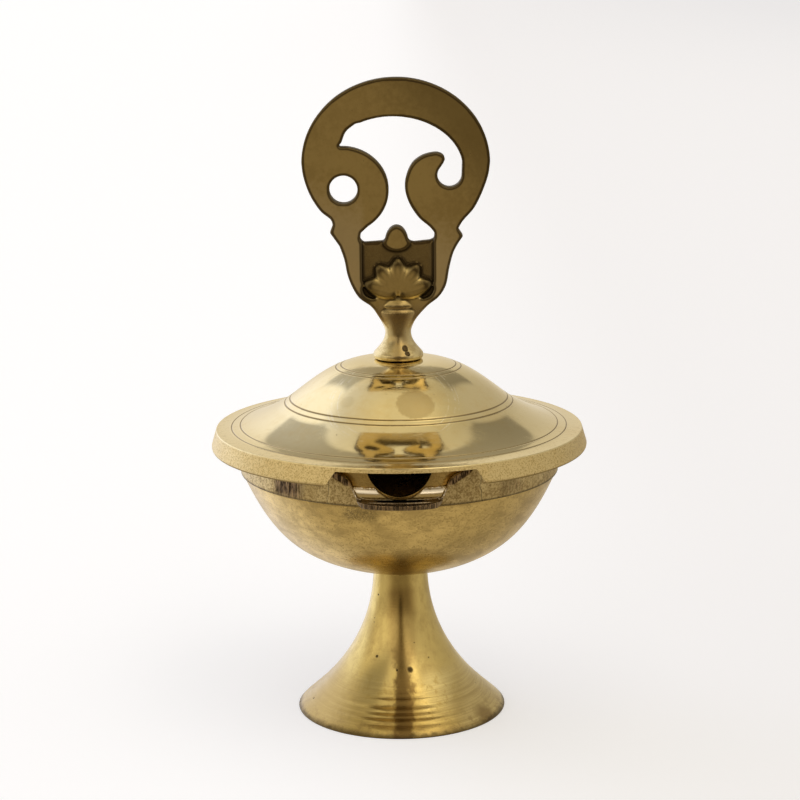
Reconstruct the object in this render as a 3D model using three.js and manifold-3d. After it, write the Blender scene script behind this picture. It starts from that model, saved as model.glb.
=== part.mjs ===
// A covered brass oil lamp: a turned foot, an oil bowl with a collar and a wick spout,
// and a lift-off domed lid that carries an openwork finial.
// Millimetres, +Z up, origin at the centre of the foot's standing face, spout towards -Y.
import * as THREE from "three";
import { mergeVertices } from "three/addons/utils/BufferGeometryUtils.js";
import Module from "manifold-3d";

// Driving dimensions: the foot
const footRadius = 28.8;
const footHeight = 39.3;
const footRimHeight = 0.8;
const footRimInset = 0.5;
const footNeckRadius = 7.5;
const footNeckLength = 1.5;
const footWall = 2.3;
const footWebHeight = 22;
const footFlareOut = 2;
const footFlareRise = 2.7;
const footNeckEase = 23.6;
const footNeckSwell = 1.3;

// The bowl and its mouth
const bowlRadius = 42.85;
const bowlDepth = 28.35;
const bowlWall = 1.8;
const bowlFloor = 2.2;
const bowlBellyOut = 19.4;
const bowlBellyRise = 4.9;
const bowlShoulderIn = 8.7;
const bowlShoulderDrop = 19.6;
const mouthHeight = 10.45;
const mouthWall = 1.7;
const mouthEase = 2.4;

// The collar round the mouth
const bandStep = 0.45;
const bandWall = 1.7;

// The wick spout, a casting let into the collar
const spoutLeft = 18.4;
const spoutRight = 21;
const channelHalfWidth = 11.2;
const channelSteepRise = 4.9;
const channelShoulderHalfWidth = 12.2;
const channelShoulderRise = 1.8;
const channelShoulderRun = 2.4;
const channelFlareHalfWidth = 17.8;
const channelCorner = 1.6;
const spoutFloor = 1.55;
const spoutFillet = 2;
const lipReach = 3.1;
const lipHalfWidth = 11.6;
const wickHoleRadius = 8.6;
const wickHoleStep = 0.5;

// The lid
const lidOverhang = 6.5;
const rimEdgeHeight = 1.2;
const skirtFlare = 1.3;
const skirtWall = 1.9;
const skirtDepth = 4;
const skirtRounding = 1.1;
const brimWidth = 16.6;
const brimRise = 5.5;
const brimBendRun = 11.5;
const brimBendRise = 2.7;
const domeRise = 13;
const domeFootRun = 6.7;
const domeFootRise = 3.9;
const domeCrownRun = 12.5;
const crownRadius = 7;
const crownWall = 2.4;
const lidWall = 2.1;
const lidTurn = 2;
const flangeClearance = 0.7;
const flangeWall = 1.5;
const flangeDepth = 2.5;
const notchTopHalfWidth = 17.9;
const notchBottomHalfWidth = 20.6;
const ringWidth = 0.7;
const ringDepth = 0.3;
const ringSpacing = 1.4;
const rimRingSpacing = 2.4;
const rimRingInset = 4.2;
const ringRoom = 0.2;
const domeRingRadius = 31;
const crownRingRadius = 17;

// The finial's pierced plate: a round arch over two scrolls, the left one with an eye
const plateHalfWidth = 25.05;
const archRise = 22.4;
const archAboveStem = 40.5;
const plateThickness = 4.6;
const plateBevel = 0.35;
const eyeRadius = 3.75;
const panelDepth = 1.3;
const panelCorner = 2.9;
const petalLength = 8.8;
const petalWidth = 4.2;
const petalCount = 5;
const petalSpread = 37;

// The sizes that the plate's outline is drawn for. It stretches when the plate's own sizes differ
const drawnHalfWidth = 24.85;
const drawnRise = 22;
const drawnDrop = 40.2;

// The finial's stem, round below and spread into the plate above
const stemBaseRadius = 6.8;
const stemBaseEdge = 1.6;
const stemBaseChamfer = 0.6;
const stemBaseTuck = 1.9;
const stemNeckRadius = 3.5;
const stemNeckHeight = 7.3;
const stemHeadRise = 5.1;
const stemHeadHalfWidth = 5.9;
const stemHeadHalfDepth = 3.7;
const stemHeadSpread = 1.3;
const stemGrooveDepth = 0.45;
const stemGrooveHeight = 0.8;

// Fasteners and fits
const gap = 0.3;
const threadRadius = 3;
const threadEnd = 1;
const threadChamfer = 0.5;
const nutAcrossFlats = 10;
const nutHeight = 5;
const washerRadius = 6.2;
const washerThickness = 1.2;
const washerRoom = 1;
const liftOff = 0.3;

// How far a cutting block reaches past what it cuts
const margin = 1;

// Smoothness of the turned and drawn surfaces
const turnedSides = 52;
const boltSides = 14;
const curveSteps = 8;

// Heights and radii that follow from the driving dimensions
const bowlBase = footHeight + gap;
const ledge = bowlBase + bowlDepth;
const bandBottom = ledge + gap;
const mouth = ledge + mouthHeight;
const bandRadius = bowlRadius + bandStep;
const bandInner = bandRadius - bandWall;
const mouthOuter = bandInner - gap;
const mouthInner = mouthOuter - mouthWall;
const channelFloor = bandBottom + spoutFloor;
const wickHoleCentre = channelFloor + wickHoleStep + wickHoleRadius;
const lidSeat = mouth + liftOff;
const rimRadius = bandRadius + lidOverhang;
const rimEdge = lidSeat + rimEdgeHeight;
const domeFootRadius = rimRadius - brimWidth;
const domeFoot = rimEdge + brimRise;
const crown = domeFoot + domeRise;
const finialBase = crown + gap;
const threadHole = threadRadius + gap;

const wasm = await Module();
wasm.setup();

// Turns a closed geometry into a solid that can be joined and cut.
function solidOf(geometry) {
  const bare = new THREE.BufferGeometry();
  bare.setAttribute("position", geometry.getAttribute("position"));
  bare.setIndex(geometry.index);
  const merged = mergeVertices(bare, 1e-4);
  return new wasm.Manifold(
    new wasm.Mesh({
      numProp: 3,
      vertProperties: merged.attributes.position.array,
      triVerts: new Uint32Array(merged.index.array),
    }),
  );
}

// Turns a joined or cut solid back into a geometry.
function geometryOf(solid) {
  const mesh = solid.getMesh();
  const made = new THREE.BufferGeometry();
  made.setAttribute("position", new THREE.BufferAttribute(mesh.vertProperties, 3));
  made.setIndex(new THREE.BufferAttribute(mesh.triVerts, 1));
  made.computeVertexNormals();
  return made;
}

const at = (x, y) => new THREE.Vector2(x, y);

// A curve through a few chosen points, as a list of points.
function smooth(points, stepsPerSpan = 2) {
  const curve = new THREE.SplineCurve(points.map(([x, y]) => at(x, y)));
  return curve.getPoints((points.length - 1) * stepsPerSpan);
}

function bezier(controls, steps = curveSteps) {
  return new THREE.CubicBezierCurve(...controls).getPoints(steps);
}

function arc(x, y, radiusX, radiusY, from, to, steps, clockwise = false) {
  const turn = THREE.MathUtils.degToRad;
  const curve = new THREE.EllipseCurve(x, y, radiusX, radiusY, turn(from), turn(to), clockwise);
  return curve.getPoints(steps);
}

// Turns a profile of radius and height about Z, its outer side listed upwards.
function turned(profile, sides = turnedSides) {
  return new THREE.LatheGeometry(profile, sides).rotateX(Math.PI / 2);
}

function turnedRing(profile, sides = turnedSides) {
  return turned([...profile, profile[0].clone()], sides);
}

// Extrudes an upright outline, drawn in X and Z, from the depth yFront back to yBack.
function upright(shape, yFront, yBack, bevel = 0) {
  const depth = yBack - yFront - 2 * bevel;
  const made = new THREE.ExtrudeGeometry(shape, {
    depth,
    curveSegments: curveSteps,
    bevelEnabled: bevel > 0,
    bevelSize: bevel,
    bevelThickness: bevel,
    bevelOffset: -bevel,
    bevelSegments: 1,
  });
  return made.rotateX(Math.PI / 2).translate(0, yBack - bevel, 0);
}

// The control points of a curve, moved sideways by the wall on the curve's left-hand side.
function offsetControls(controls, wall) {
  const legs = controls.slice(1).map((end, i) => {
    const along = end.clone().sub(controls[i]).normalize();
    const side = at(-along.y, along.x).multiplyScalar(wall);
    return { from: controls[i].clone().add(side), along };
  });
  const moved = legs.slice(1).map((leg, i) => {
    const before = legs[i];
    const reach = leg.from.clone().sub(before.from).cross(leg.along) / before.along.cross(leg.along);
    return before.from.clone().addScaledVector(before.along, reach);
  });
  const last = legs[legs.length - 1];
  const side = last.from.clone().sub(controls[controls.length - 2]);
  return [legs[0].from, ...moved, controls[controls.length - 1].clone().add(side)];
}

// The radius of a rising profile at a height, and the height of a falling one at a radius.
function radiusAt(profile, height) {
  const i = profile.findIndex((point, k) => k > 0 && point.y >= height);
  const share = (height - profile[i - 1].y) / (profile[i].y - profile[i - 1].y);
  return THREE.MathUtils.lerp(profile[i - 1].x, profile[i].x, share);
}

function heightAt(profile, radius) {
  const i = profile.findIndex((point, k) => k > 0 && point.x <= radius && profile[k - 1].x >= radius);
  const share = (profile[i - 1].x - radius) / (profile[i - 1].x - profile[i].x);
  return profile[i - 1].y + share * (profile[i].y - profile[i - 1].y);
}

// Cuts a V-shaped ring into a profile whose radius falls from point to point.
function engrave(profile, radius) {
  const outside = radius + ringWidth / 2;
  const inside = radius - ringWidth / 2;
  const ring = [
    at(outside, heightAt(profile, outside)),
    at(radius, heightAt(profile, radius) - ringDepth),
    at(inside, heightAt(profile, inside)),
  ];
  const before = profile.filter((point) => point.x > outside + ringRoom);
  const after = profile.filter((point) => point.x < inside - ringRoom);
  return [...before, ...ring, ...after];
}

function nutGeometry(bottom) {
  const corner = nutAcrossFlats / Math.sqrt(3);
  const hexagon = new THREE.Shape(arc(0, 0, corner, corner, 0, 360, 6).slice(0, 6));
  hexagon.holes.push(new THREE.Path(arc(0, 0, threadHole, threadHole, 0, 360, boltSides, true)));
  const body = new THREE.ExtrudeGeometry(hexagon, { depth: nutHeight, bevelEnabled: false });
  body.translate(0, 0, bottom);
  const crownCut = (corner - nutAcrossFlats / 2) / 2;
  const envelope = turned(
    [
      at(0, bottom),
      at(corner - 2 * crownCut, bottom),
      at(corner, bottom + crownCut),
      at(corner, bottom + nutHeight - crownCut),
      at(corner - 2 * crownCut, bottom + nutHeight),
      at(0, bottom + nutHeight),
    ],
    2 * boltSides,
  );
  return geometryOf(solidOf(body).intersect(solidOf(envelope)));
}

function washerGeometry(bottom) {
  return turnedRing(
    [
      at(washerRadius, bottom),
      at(washerRadius, bottom + washerThickness),
      at(threadHole, bottom + washerThickness),
      at(threadHole, bottom),
    ],
    2 * boltSides,
  );
}

function footGeometry() {
  const controls = [
    at(footRadius - footRimInset, footRimHeight),
    at(footRadius - footRimInset - footFlareOut, footRimHeight + footFlareRise),
    at(footNeckRadius + footNeckSwell, footHeight - footNeckLength - footNeckEase),
    at(footNeckRadius, footHeight - footNeckLength),
  ];
  const lining = bezier(offsetControls(controls, footWall), curveSteps + 1);
  const inside = lining.filter((point) => point.y > footRimHeight && point.y < footWebHeight - margin);
  return turnedRing([
    at(footRadius, 0),
    ...bezier(controls, curveSteps + 1),
    at(footNeckRadius, footHeight),
    at(threadHole, footHeight),
    at(threadHole, footWebHeight),
    at(radiusAt(lining, footWebHeight), footWebHeight),
    ...inside.reverse(),
    at(footRadius - footWall, 0),
  ]);
}

function bowlGeometry() {
  const controls = [
    at(footNeckRadius, bowlBase),
    at(footNeckRadius + bowlBellyOut, bowlBase + bowlBellyRise),
    at(bowlRadius - bowlShoulderIn, ledge - bowlShoulderDrop),
    at(bowlRadius, ledge),
  ];
  const inside = bezier(offsetControls(controls, bowlWall)).filter(
    (point) => point.x < mouthInner - mouthEase / 2 && point.y > bowlBase + bowlFloor,
  );
  const studEnd = footWebHeight - gap - washerThickness - gap - nutHeight - threadEnd;
  const body = turned([
    at(0, studEnd),
    at(threadRadius - threadChamfer, studEnd),
    at(threadRadius, studEnd + threadChamfer),
    at(threadRadius, bowlBase),
    ...bezier(controls, curveSteps + 1),
    at(mouthOuter, ledge),
    at(mouthOuter, mouth),
    at(mouthInner, mouth),
    at(mouthInner, ledge - mouthEase),
    ...inside.reverse(),
    at(0, bowlBase + bowlFloor),
  ]);
  const hole = new THREE.Shape(
    arc(0, wickHoleCentre, wickHoleRadius, wickHoleRadius, 0, 360, 2 * boltSides).slice(0, -1),
  );
  const cut = upright(hole, -mouthOuter - margin, -mouthInner / 2);
  return geometryOf(solidOf(body).subtract(solidOf(cut)));
}

// A ring of the collar's section, whole.
function collarRing() {
  return solidOf(
    turnedRing([
      at(bandRadius, bandBottom),
      at(bandRadius, mouth),
      at(bandInner, mouth),
      at(bandInner, bandBottom),
    ]),
  );
}

// The block of space at the front, from one X to another, that the spout takes.
function frontBlock(left, right) {
  const made = new THREE.BoxGeometry(right - left, bandRadius, mouth - bandBottom + 2 * margin);
  return solidOf(made.translate((left + right) / 2, -(bandRadius + bandInner) / 2, (mouth + bandBottom) / 2));
}

function bandGeometry() {
  return geometryOf(collarRing().subtract(frontBlock(-spoutLeft, spoutRight)));
}

// The opening in the spout as it is seen from the front: steep sides, a shoulder, then a flare.
function channelShape() {
  const steepTop = channelFloor + channelSteepRise;
  const shoulderTop = steepTop + channelShoulderRise;
  const shoulderOut = channelShoulderHalfWidth + channelShoulderRun;
  const half = new THREE.Path();
  half.moveTo(0, channelFloor);
  half.lineTo(channelHalfWidth - channelCorner, channelFloor);
  half.quadraticCurveTo(channelHalfWidth, channelFloor, channelHalfWidth, channelFloor + channelCorner);
  half.lineTo(channelShoulderHalfWidth, steepTop);
  half.quadraticCurveTo(channelShoulderHalfWidth, shoulderTop, shoulderOut, shoulderTop);
  half.quadraticCurveTo(channelFlareHalfWidth, shoulderTop, channelFlareHalfWidth, mouth);
  half.lineTo(channelFlareHalfWidth, mouth + margin);
  const right = half.getPoints(curveSteps - 3);
  const left = right.slice(1).reverse().map((point) => at(-point.x, point.y));
  return new THREE.Shape([...right, ...left]);
}

function spoutGeometry() {
  const block = collarRing().intersect(frontBlock(gap - spoutLeft, spoutRight - gap));
  const lipRoot = -Math.sqrt(bandRadius ** 2 - lipHalfWidth ** 2);
  const lip = new THREE.Shape([
    ...arc(0, lipRoot, lipHalfWidth, bandRadius + lipReach + lipRoot, 180, 360, 2 * curveSteps),
    at(lipHalfWidth, lipRoot + bandWall),
    at(-lipHalfWidth, lipRoot + bandWall),
  ]);
  const tongue = new THREE.ExtrudeGeometry(lip, { depth: spoutFloor, bevelEnabled: false });
  tongue.translate(0, 0, bandBottom);
  const filletTop = channelFloor + spoutFillet;
  // The fillet runs a little into the bore, which cuts its thin upper edge off blunt
  const filletRoot = bandInner - gap / 2;
  const inside = solidOf(
    turned([
      at(0, bandBottom - margin),
      at(bandInner, bandBottom - margin),
      at(bandInner, filletTop + margin),
      at(0, filletTop + margin),
    ]),
  );
  const fillet = turnedRing([
    at(filletRoot + spoutFillet, bandBottom),
    ...arc(filletRoot + spoutFillet, filletTop, spoutFillet, spoutFillet, 270, 180, curveSteps - 3, true),
    at(filletRoot - gap, filletTop),
    at(filletRoot - gap, bandBottom),
  ]);
  const bed = solidOf(fillet).intersect(frontBlock(-channelShoulderHalfWidth, channelShoulderHalfWidth));
  const carve = solidOf(upright(channelShape(), -bandRadius - lipReach - margin, -bandInner / 2));
  return geometryOf(
    block.add(solidOf(tongue)).subtract(carve).add(bed).subtract(inside),
  );
}

function lidGeometry() {
  const skirtBottom = lidSeat - skirtDepth;
  const skirtRadius = rimRadius + skirtFlare;
  const brim = new THREE.QuadraticBezierCurve(
    at(rimRadius, rimEdge),
    at(rimRadius - brimBendRun, rimEdge + brimBendRise),
    at(domeFootRadius, domeFoot),
  );
  const controls = [
    at(domeFootRadius, domeFoot),
    at(domeFootRadius - domeFootRun, domeFoot + domeFootRise),
    at(crownRadius + domeCrownRun, crown),
    at(crownRadius, crown),
  ];
  const rings = [
    rimRadius - rimRingInset,
    rimRadius - rimRingInset - rimRingSpacing,
    domeRingRadius,
    domeRingRadius - ringSpacing,
    crownRingRadius,
    crownRingRadius - ringSpacing,
  ];
  const slope = [...brim.getPoints(curveSteps - 3), ...bezier(controls).slice(1), at(threadHole, crown)];
  const top = rings.reduce(engrave, slope);
  const washerFlat = washerRadius + washerRoom;
  const inside = bezier(offsetControls(controls, lidWall), curveSteps - 2).filter(
    (point) => point.x > washerFlat,
  );
  const flangeOuter = mouthInner - flangeClearance;
  const flangeInner = flangeOuter - flangeWall;
  const round = skirtRounding;
  const body = turnedRing([
    ...arc(skirtRadius - round, skirtBottom + round, round, round, 270, 360, 3),
    ...top,
    at(threadHole, crown - crownWall),
    at(washerFlat, crown - crownWall),
    ...inside.reverse(),
    at(flangeInner, lidSeat + lidWall / 2),
    at(flangeInner, lidSeat - flangeDepth),
    at(flangeOuter, lidSeat - flangeDepth),
    at(flangeOuter, lidSeat),
    at(rimRadius + skirtFlare / 2 - skirtWall, lidSeat),
    at(skirtRadius - skirtWall, skirtBottom + skirtRounding / 2),
  ]);
  const notch = new THREE.Shape([
    at(-notchBottomHalfWidth, skirtBottom),
    at(-notchBottomHalfWidth - margin, skirtBottom - margin),
    at(notchBottomHalfWidth + margin, skirtBottom - margin),
    at(notchBottomHalfWidth, skirtBottom),
    at(notchTopHalfWidth, lidSeat),
    at(-notchTopHalfWidth, lidSeat),
  ]);
  const cut = upright(notch, -skirtRadius - margin, -flangeInner / 2);
  return geometryOf(solidOf(body).subtract(solidOf(cut)));
}

// Puts drawn points on the plate: X from its axis, and height from the arch's centre.
function onPlate(drawn, archHeight) {
  return drawn.map((point) => {
    const stretch = point.y > 0 ? archRise / drawnRise : archAboveStem / drawnDrop;
    return at((point.x * plateHalfWidth) / drawnHalfWidth, point.y * stretch + archHeight);
  });
}

// The plate's outer edge: the arch, and under each of its ends a shoulder, a spur and a side.
function plateOutline() {
  const arch = arc(-0.2, 0, drawnHalfWidth, drawnRise, 180, 0, 26, true).slice(1, -1);
  const shoulder = smooth([
    [24.65, 0], [24.1, -3.6], [22.4, -8.3], [20.3, -12.3], [17.5, -15.5], [16.2, -17.6],
  ]);
  const spur = at(17.5, -19.6);
  const side = smooth([
    [16.3, -21.3], [14.9, -24], [13.8, -28], [12.9, -32.6], [11, -35.8],
    [8, -38.2], [5.4, -41], [3.6, -43.4], [1.8, -44.6],
  ]);
  const leftSide = smooth([
    [-1.8, -44.6], [-3.4, -43.4], [-5, -41.3], [-7, -38.4], [-10.1, -36.1],
    [-12, -33.2], [-13.3, -29.8], [-14.1, -25.6], [-15.3, -22],
  ]);
  const leftSpur = at(-17.8, -18.4);
  const leftShoulder = smooth([
    [-17, -16.4], [-17.6, -14.8], [-20.3, -12.5], [-22.9, -8.4], [-24.5, -3.8], [-25.05, 0],
  ]);
  return [...shoulder, spur, ...side, ...leftSide, leftSpur, ...leftShoulder, ...arch].reverse();
}

// The large opening: under the arch, round the curl and the two scrolls, and over the knob.
function plateOpening() {
  const corner = smooth([[-14.4, 5.4], [-13.2, 8.2], [-10.7, 10.2]]);
  const underArch = arc(-0.9, -1.8, 18.4, 13.8, 117, 8, 20, true);
  const curl = arc(14, -3.4, 3.2, 3.2, 0, -205, 14, true);
  const rightScroll = smooth([
    [12.4, -0.2], [12.8, 1], [12, 2.1], [10, 2.5], [6.6, 1.6], [3.8, -0.8],
    [2.2, -5.5], [3, -10], [5.6, -14.3], [8.6, -17], [9.9, -18.6],
  ]);
  const panelEdge = [at(9.8, -20.4), at(8.6, -20.9), at(4.4, -21.3), at(3.4, -21)];
  const knob = arc(-0.15, -21.8, 3.2, 5, 15, 165, 10);
  const leftPanelEdge = [at(-3.7, -21), at(-8.9, -21.3), at(-9.8, -20.4), at(-9.7, -18.6)];
  const leftScroll = arc(-14.4, -7.2, 12.3, 11.4, -57, 95, 20);
  const rightHalf = [...underArch, ...curl, ...rightScroll, ...panelEdge];
  return [...corner, ...rightHalf, ...knob, ...leftPanelEdge, ...leftScroll];
}

// The eye in the middle of the left scroll, which stays round when the plate is stretched.
function plateEye(archHeight) {
  const [centre] = onPlate([at(-14.1, -7)], archHeight);
  return arc(centre.x, centre.y, eyeRadius, eyeRadius, 0, 360, 24, true).slice(1);
}

// The sunk panel below the opening, a rounded shield with a notch for the knob.
function panelOutline() {
  return [
    at(-9.4, -20.6),
    at(-9.4, -31.5),
    ...arc(-6.2, -33.4, panelCorner, panelCorner, 180, 270, 4),
    ...arc(6.4, -33.4, panelCorner, panelCorner, 270, 360, 4),
    at(9.6, -31.5),
    at(9.6, -20.4),
    at(3.9, -20.4),
    at(3.2, -22.6),
    at(1.4, -23.4),
    at(-1.4, -23.4),
    at(-3.1, -22.6),
    at(-3.7, -20.6),
  ];
}

// One petal of the raised flower in the panel, leaning by an angle from upright.
function petal(foot, lean) {
  const shape = new THREE.Shape();
  shape.moveTo(0, 0);
  shape.quadraticCurveTo(petalWidth, petalLength / 2, 0, petalLength);
  shape.quadraticCurveTo(-petalWidth, petalLength / 2, 0, 0);
  const made = new THREE.ExtrudeGeometry(shape, {
    depth: plateThickness / 2,
    bevelEnabled: false,
    curveSegments: curveSteps / 2,
  });
  made.rotateX(Math.PI / 2).rotateY(lean).translate(foot.x, 0, foot.y);
  return solidOf(made);
}

// Spreads the round stem sideways above its neck, so that it grows into the flat plate.
function widenStem(stem, neck, head) {
  const place = stem.getAttribute("position");
  for (let i = 0; i < place.count; i++) {
    const share = THREE.MathUtils.clamp((place.getZ(i) - neck) / (head - neck), 0, 1);
    const most = stemHeadHalfWidth / stemHeadHalfDepth;
    place.setX(i, place.getX(i) * THREE.MathUtils.lerp(1, most, share ** stemHeadSpread));
  }
}

function finialGeometry() {
  const neck = finialBase + stemNeckHeight;
  const head = neck + stemHeadRise;
  const archHeight = head + archAboveStem;
  const front = -plateThickness / 2;
  const plate = new THREE.Shape(onPlate(plateOutline(), archHeight));
  plate.holes.push(new THREE.Path(onPlate(plateOpening(), archHeight)));
  plate.holes.push(new THREE.Path(plateEye(archHeight)));
  const panel = new THREE.Shape(onPlate(panelOutline(), archHeight));
  let made = solidOf(upright(plate, front, -front, plateBevel));
  made = made.subtract(solidOf(upright(panel, front - margin, front + panelDepth)));
  const [petalFoot] = onPlate([at(0, -34)], archHeight);
  for (let i = 0; i < petalCount; i++) {
    const lean = THREE.MathUtils.degToRad((i - (petalCount - 1) / 2) * petalSpread);
    made = made.add(petal(petalFoot, lean));
  }
  const tenonEnd = crown - crownWall - gap - washerThickness - gap - nutHeight - threadEnd;
  const groove = stemHeadHalfDepth - stemGrooveDepth;
  const stemTop = head + 3 * stemGrooveHeight;
  const stem = turned(
    [
      at(0, tenonEnd),
      at(threadRadius - threadChamfer, tenonEnd),
      at(threadRadius, tenonEnd + threadChamfer),
      at(threadRadius, finialBase),
      at(stemBaseRadius - stemBaseChamfer, finialBase),
      at(stemBaseRadius, finialBase + stemBaseEdge / 2),
      ...bezier(
        [
          at(stemBaseRadius, finialBase + stemBaseEdge),
          at(stemBaseRadius - stemBaseTuck, finialBase + stemNeckHeight / 2),
          at(stemNeckRadius, neck - stemNeckHeight / 3),
          at(stemNeckRadius, neck),
        ],
        curveSteps - 2,
      ),
      at(stemNeckRadius, neck + stemHeadRise / 3),
      at(stemHeadHalfDepth, head),
      at(groove, head + stemGrooveHeight),
      at(groove, head + 2 * stemGrooveHeight),
      at(plateThickness / 2 - plateBevel, stemTop),
      at(0, stemTop),
    ],
    2 * boltSides,
  );
  widenStem(stem, neck, head);
  return geometryOf(made.add(solidOf(stem)));
}

const lamp = new THREE.Group();
const castBrass = { color: 0xb08a45, metalness: 1, roughness: 0.45 };
const turnedBrass = { color: 0xc2a25a, metalness: 1, roughness: 0.28 };
const polishedBrass = { color: 0xd0b878, metalness: 1, roughness: 0.12 };
const darkBrass = { color: 0x8a6b34, metalness: 1, roughness: 0.5 };

function addPiece(name, geometry, finish, parent = lamp) {
  const mesh = new THREE.Mesh(geometry, new THREE.MeshStandardMaterial(finish));
  mesh.name = name;
  parent.add(mesh);
}

addPiece("foot", footGeometry(), turnedBrass);
addPiece("bowl", bowlGeometry(), turnedBrass);
addPiece("rim_band", bandGeometry(), castBrass);
addPiece("wick_spout", spoutGeometry(), castBrass);
addPiece("foot_washer", washerGeometry(footWebHeight - gap - washerThickness), darkBrass);
addPiece("foot_nut", nutGeometry(footWebHeight - 2 * gap - washerThickness - nutHeight), darkBrass);

const cover = new THREE.Group();
cover.rotation.z = THREE.MathUtils.degToRad(lidTurn);
lamp.add(cover);
addPiece("lid", lidGeometry(), polishedBrass, cover);
const lidUnderside = crown - crownWall;
addPiece("finial", finialGeometry(), castBrass);
addPiece("finial_washer", washerGeometry(lidUnderside - gap - washerThickness), darkBrass);
addPiece("finial_nut", nutGeometry(lidUnderside - 2 * gap - washerThickness - nutHeight), darkBrass);

export default lamp;
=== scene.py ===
"""Dresses a covered brass oil lamp: the turned foot and bowl, the filed collar, the cast wick spout,
the domed lid and its openwork finial, each with its own brass, on a pale floor in soft studio light."""

import math

import bmesh
import bpy
import numpy as np
from bpy.props import FloatProperty, FloatVectorProperty, IntProperty, PointerProperty
from mathutils import Matrix, Vector, noise


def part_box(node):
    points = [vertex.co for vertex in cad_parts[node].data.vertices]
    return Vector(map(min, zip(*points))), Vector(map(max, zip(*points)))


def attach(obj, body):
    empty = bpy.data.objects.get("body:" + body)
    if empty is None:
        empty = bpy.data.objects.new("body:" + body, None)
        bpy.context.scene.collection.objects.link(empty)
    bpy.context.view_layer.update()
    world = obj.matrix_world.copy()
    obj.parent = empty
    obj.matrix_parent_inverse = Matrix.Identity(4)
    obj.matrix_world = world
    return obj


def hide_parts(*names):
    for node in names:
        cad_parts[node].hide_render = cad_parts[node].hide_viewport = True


bl_info = {
    "name": "Covered Oil Lamp",
    "version": (1, 0, 0),
    "blender": (4, 5, 0),
    "location": "3D View > Sidebar > Oil Lamp",
    "description": "Builds the pieces of a covered brass oil lamp and the studio around it",
    "category": "Add Mesh",
}

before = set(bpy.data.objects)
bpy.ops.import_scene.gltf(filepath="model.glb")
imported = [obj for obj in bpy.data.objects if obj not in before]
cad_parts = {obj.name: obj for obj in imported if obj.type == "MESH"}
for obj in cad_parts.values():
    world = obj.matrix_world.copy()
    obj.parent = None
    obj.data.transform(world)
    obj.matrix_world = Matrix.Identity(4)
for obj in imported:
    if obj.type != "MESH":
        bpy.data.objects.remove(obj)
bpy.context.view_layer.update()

MM = 0.001
FOOT_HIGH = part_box("foot")[1]
BOWL_LOW, BOWL_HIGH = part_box("bowl")
BAND_LOW, BAND_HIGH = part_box("rim_band")
LID_LOW, LID_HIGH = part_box("lid")
FINIAL_LOW, FINIAL_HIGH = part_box("finial")
WASHER_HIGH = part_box("foot_washer")[1]

# The collar's lower edge, the wick hole's centre in X and Z, and the radius of the holes that the
# stud and the tenon go through.
COLLAR_BOTTOM = BAND_LOW.z - 0.24 * MM
WICK_HOLE = (0, BAND_LOW.z + 10.65 * MM)
STUD_HOLE = 3.3 * MM


def length(name, value, description):
    """A length that a user can change, with its default in metres."""
    return FloatProperty(name=name, description=description, default=value, unit="LENGTH", precision=5)


def angle(name, degrees, description):
    """An angle that a user can change."""
    default = math.radians(degrees)
    return FloatProperty(name=name, description=description, default=default, unit="ROTATION")


def strength(name, value, description):
    """A light's strength that a user can change."""
    return FloatProperty(name=name, description=description, default=value, min=0)


def tint(name, value, description):
    """A colour that a user can change."""
    return FloatVectorProperty(
        name=name, description=description, default=value, subtype="COLOR", size=3, min=0, max=1
    )


class FootSizes(bpy.types.PropertyGroup):
    """Sizes of the turned trumpet foot."""

    radius: length("Radius", FOOT_HIGH.x, "Radius of the ring that the lamp stands on")
    height: length("Height", FOOT_HIGH.z, "Height of the foot up to the bowl")
    wall: length("Wall", 2.3 * MM, "Thickness of the hollow foot's wall")
    rim: length("Rim height", 0.8 * MM, "Height of the upright rim at the bottom")
    inset: length("Rim inset", 0.5 * MM, "Step in from the rim to the flare")
    neck: length("Neck radius", 7.5 * MM, "Radius where the foot meets the bowl")
    web: length("Web height", 22 * MM, "Height of the web that the nut pulls against")
    ripple: length("Ripple", 0.035 * MM, "Depth of the lathe's rings on the flare")


class BowlSizes(bpy.types.PropertyGroup):
    """Sizes of the oil bowl and of its mouth."""

    radius: length("Radius", BOWL_HIGH.x, "Largest radius, just below the collar")
    bottom: length("Bottom", FOOT_HIGH.z + 0.3 * MM, "Height of the bowl's lowest outer point")
    ledge: length("Ledge", BAND_LOW.z - 0.3 * MM, "Height of the step under the collar")
    mouth: length("Mouth", BOWL_HIGH.z, "Height of the mouth's edge")
    wall: length("Wall", 1.8 * MM, "Thickness of the bowl's wall")
    floor: length("Floor", 2.2 * MM, "Thickness of the bowl's floor")
    neck: length("Neck radius", 7.5 * MM, "Radius where the bowl's side starts")
    belly_out: length("Belly width", 19.4 * MM, "How far the bottom runs out before it rises")
    belly_rise: length("Belly rise", 4.9 * MM, "How far the bottom rises on its way out")
    shoulder_in: length("Shoulder inset", 8.7 * MM, "How far in from the ledge its curve's handle is")
    shoulder_drop: length("Shoulder drop", 19.6 * MM, "How far below the ledge that handle is")
    mouth_outer: length("Mouth radius", 41.3 * MM, "Outer radius of the mouth inside the collar")
    mouth_wall: length("Mouth wall", 1.7 * MM, "Thickness of the mouth's wall")
    stud: length("Stud radius", 3 * MM, "Radius of the threaded stud below")
    hole: length("Wick hole", 8.6 * MM, "Radius of the wick hole behind the spout")
    boss: length("Boss", 14.4 * MM, "Radius of the unpolished patch round the foot's neck")


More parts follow.
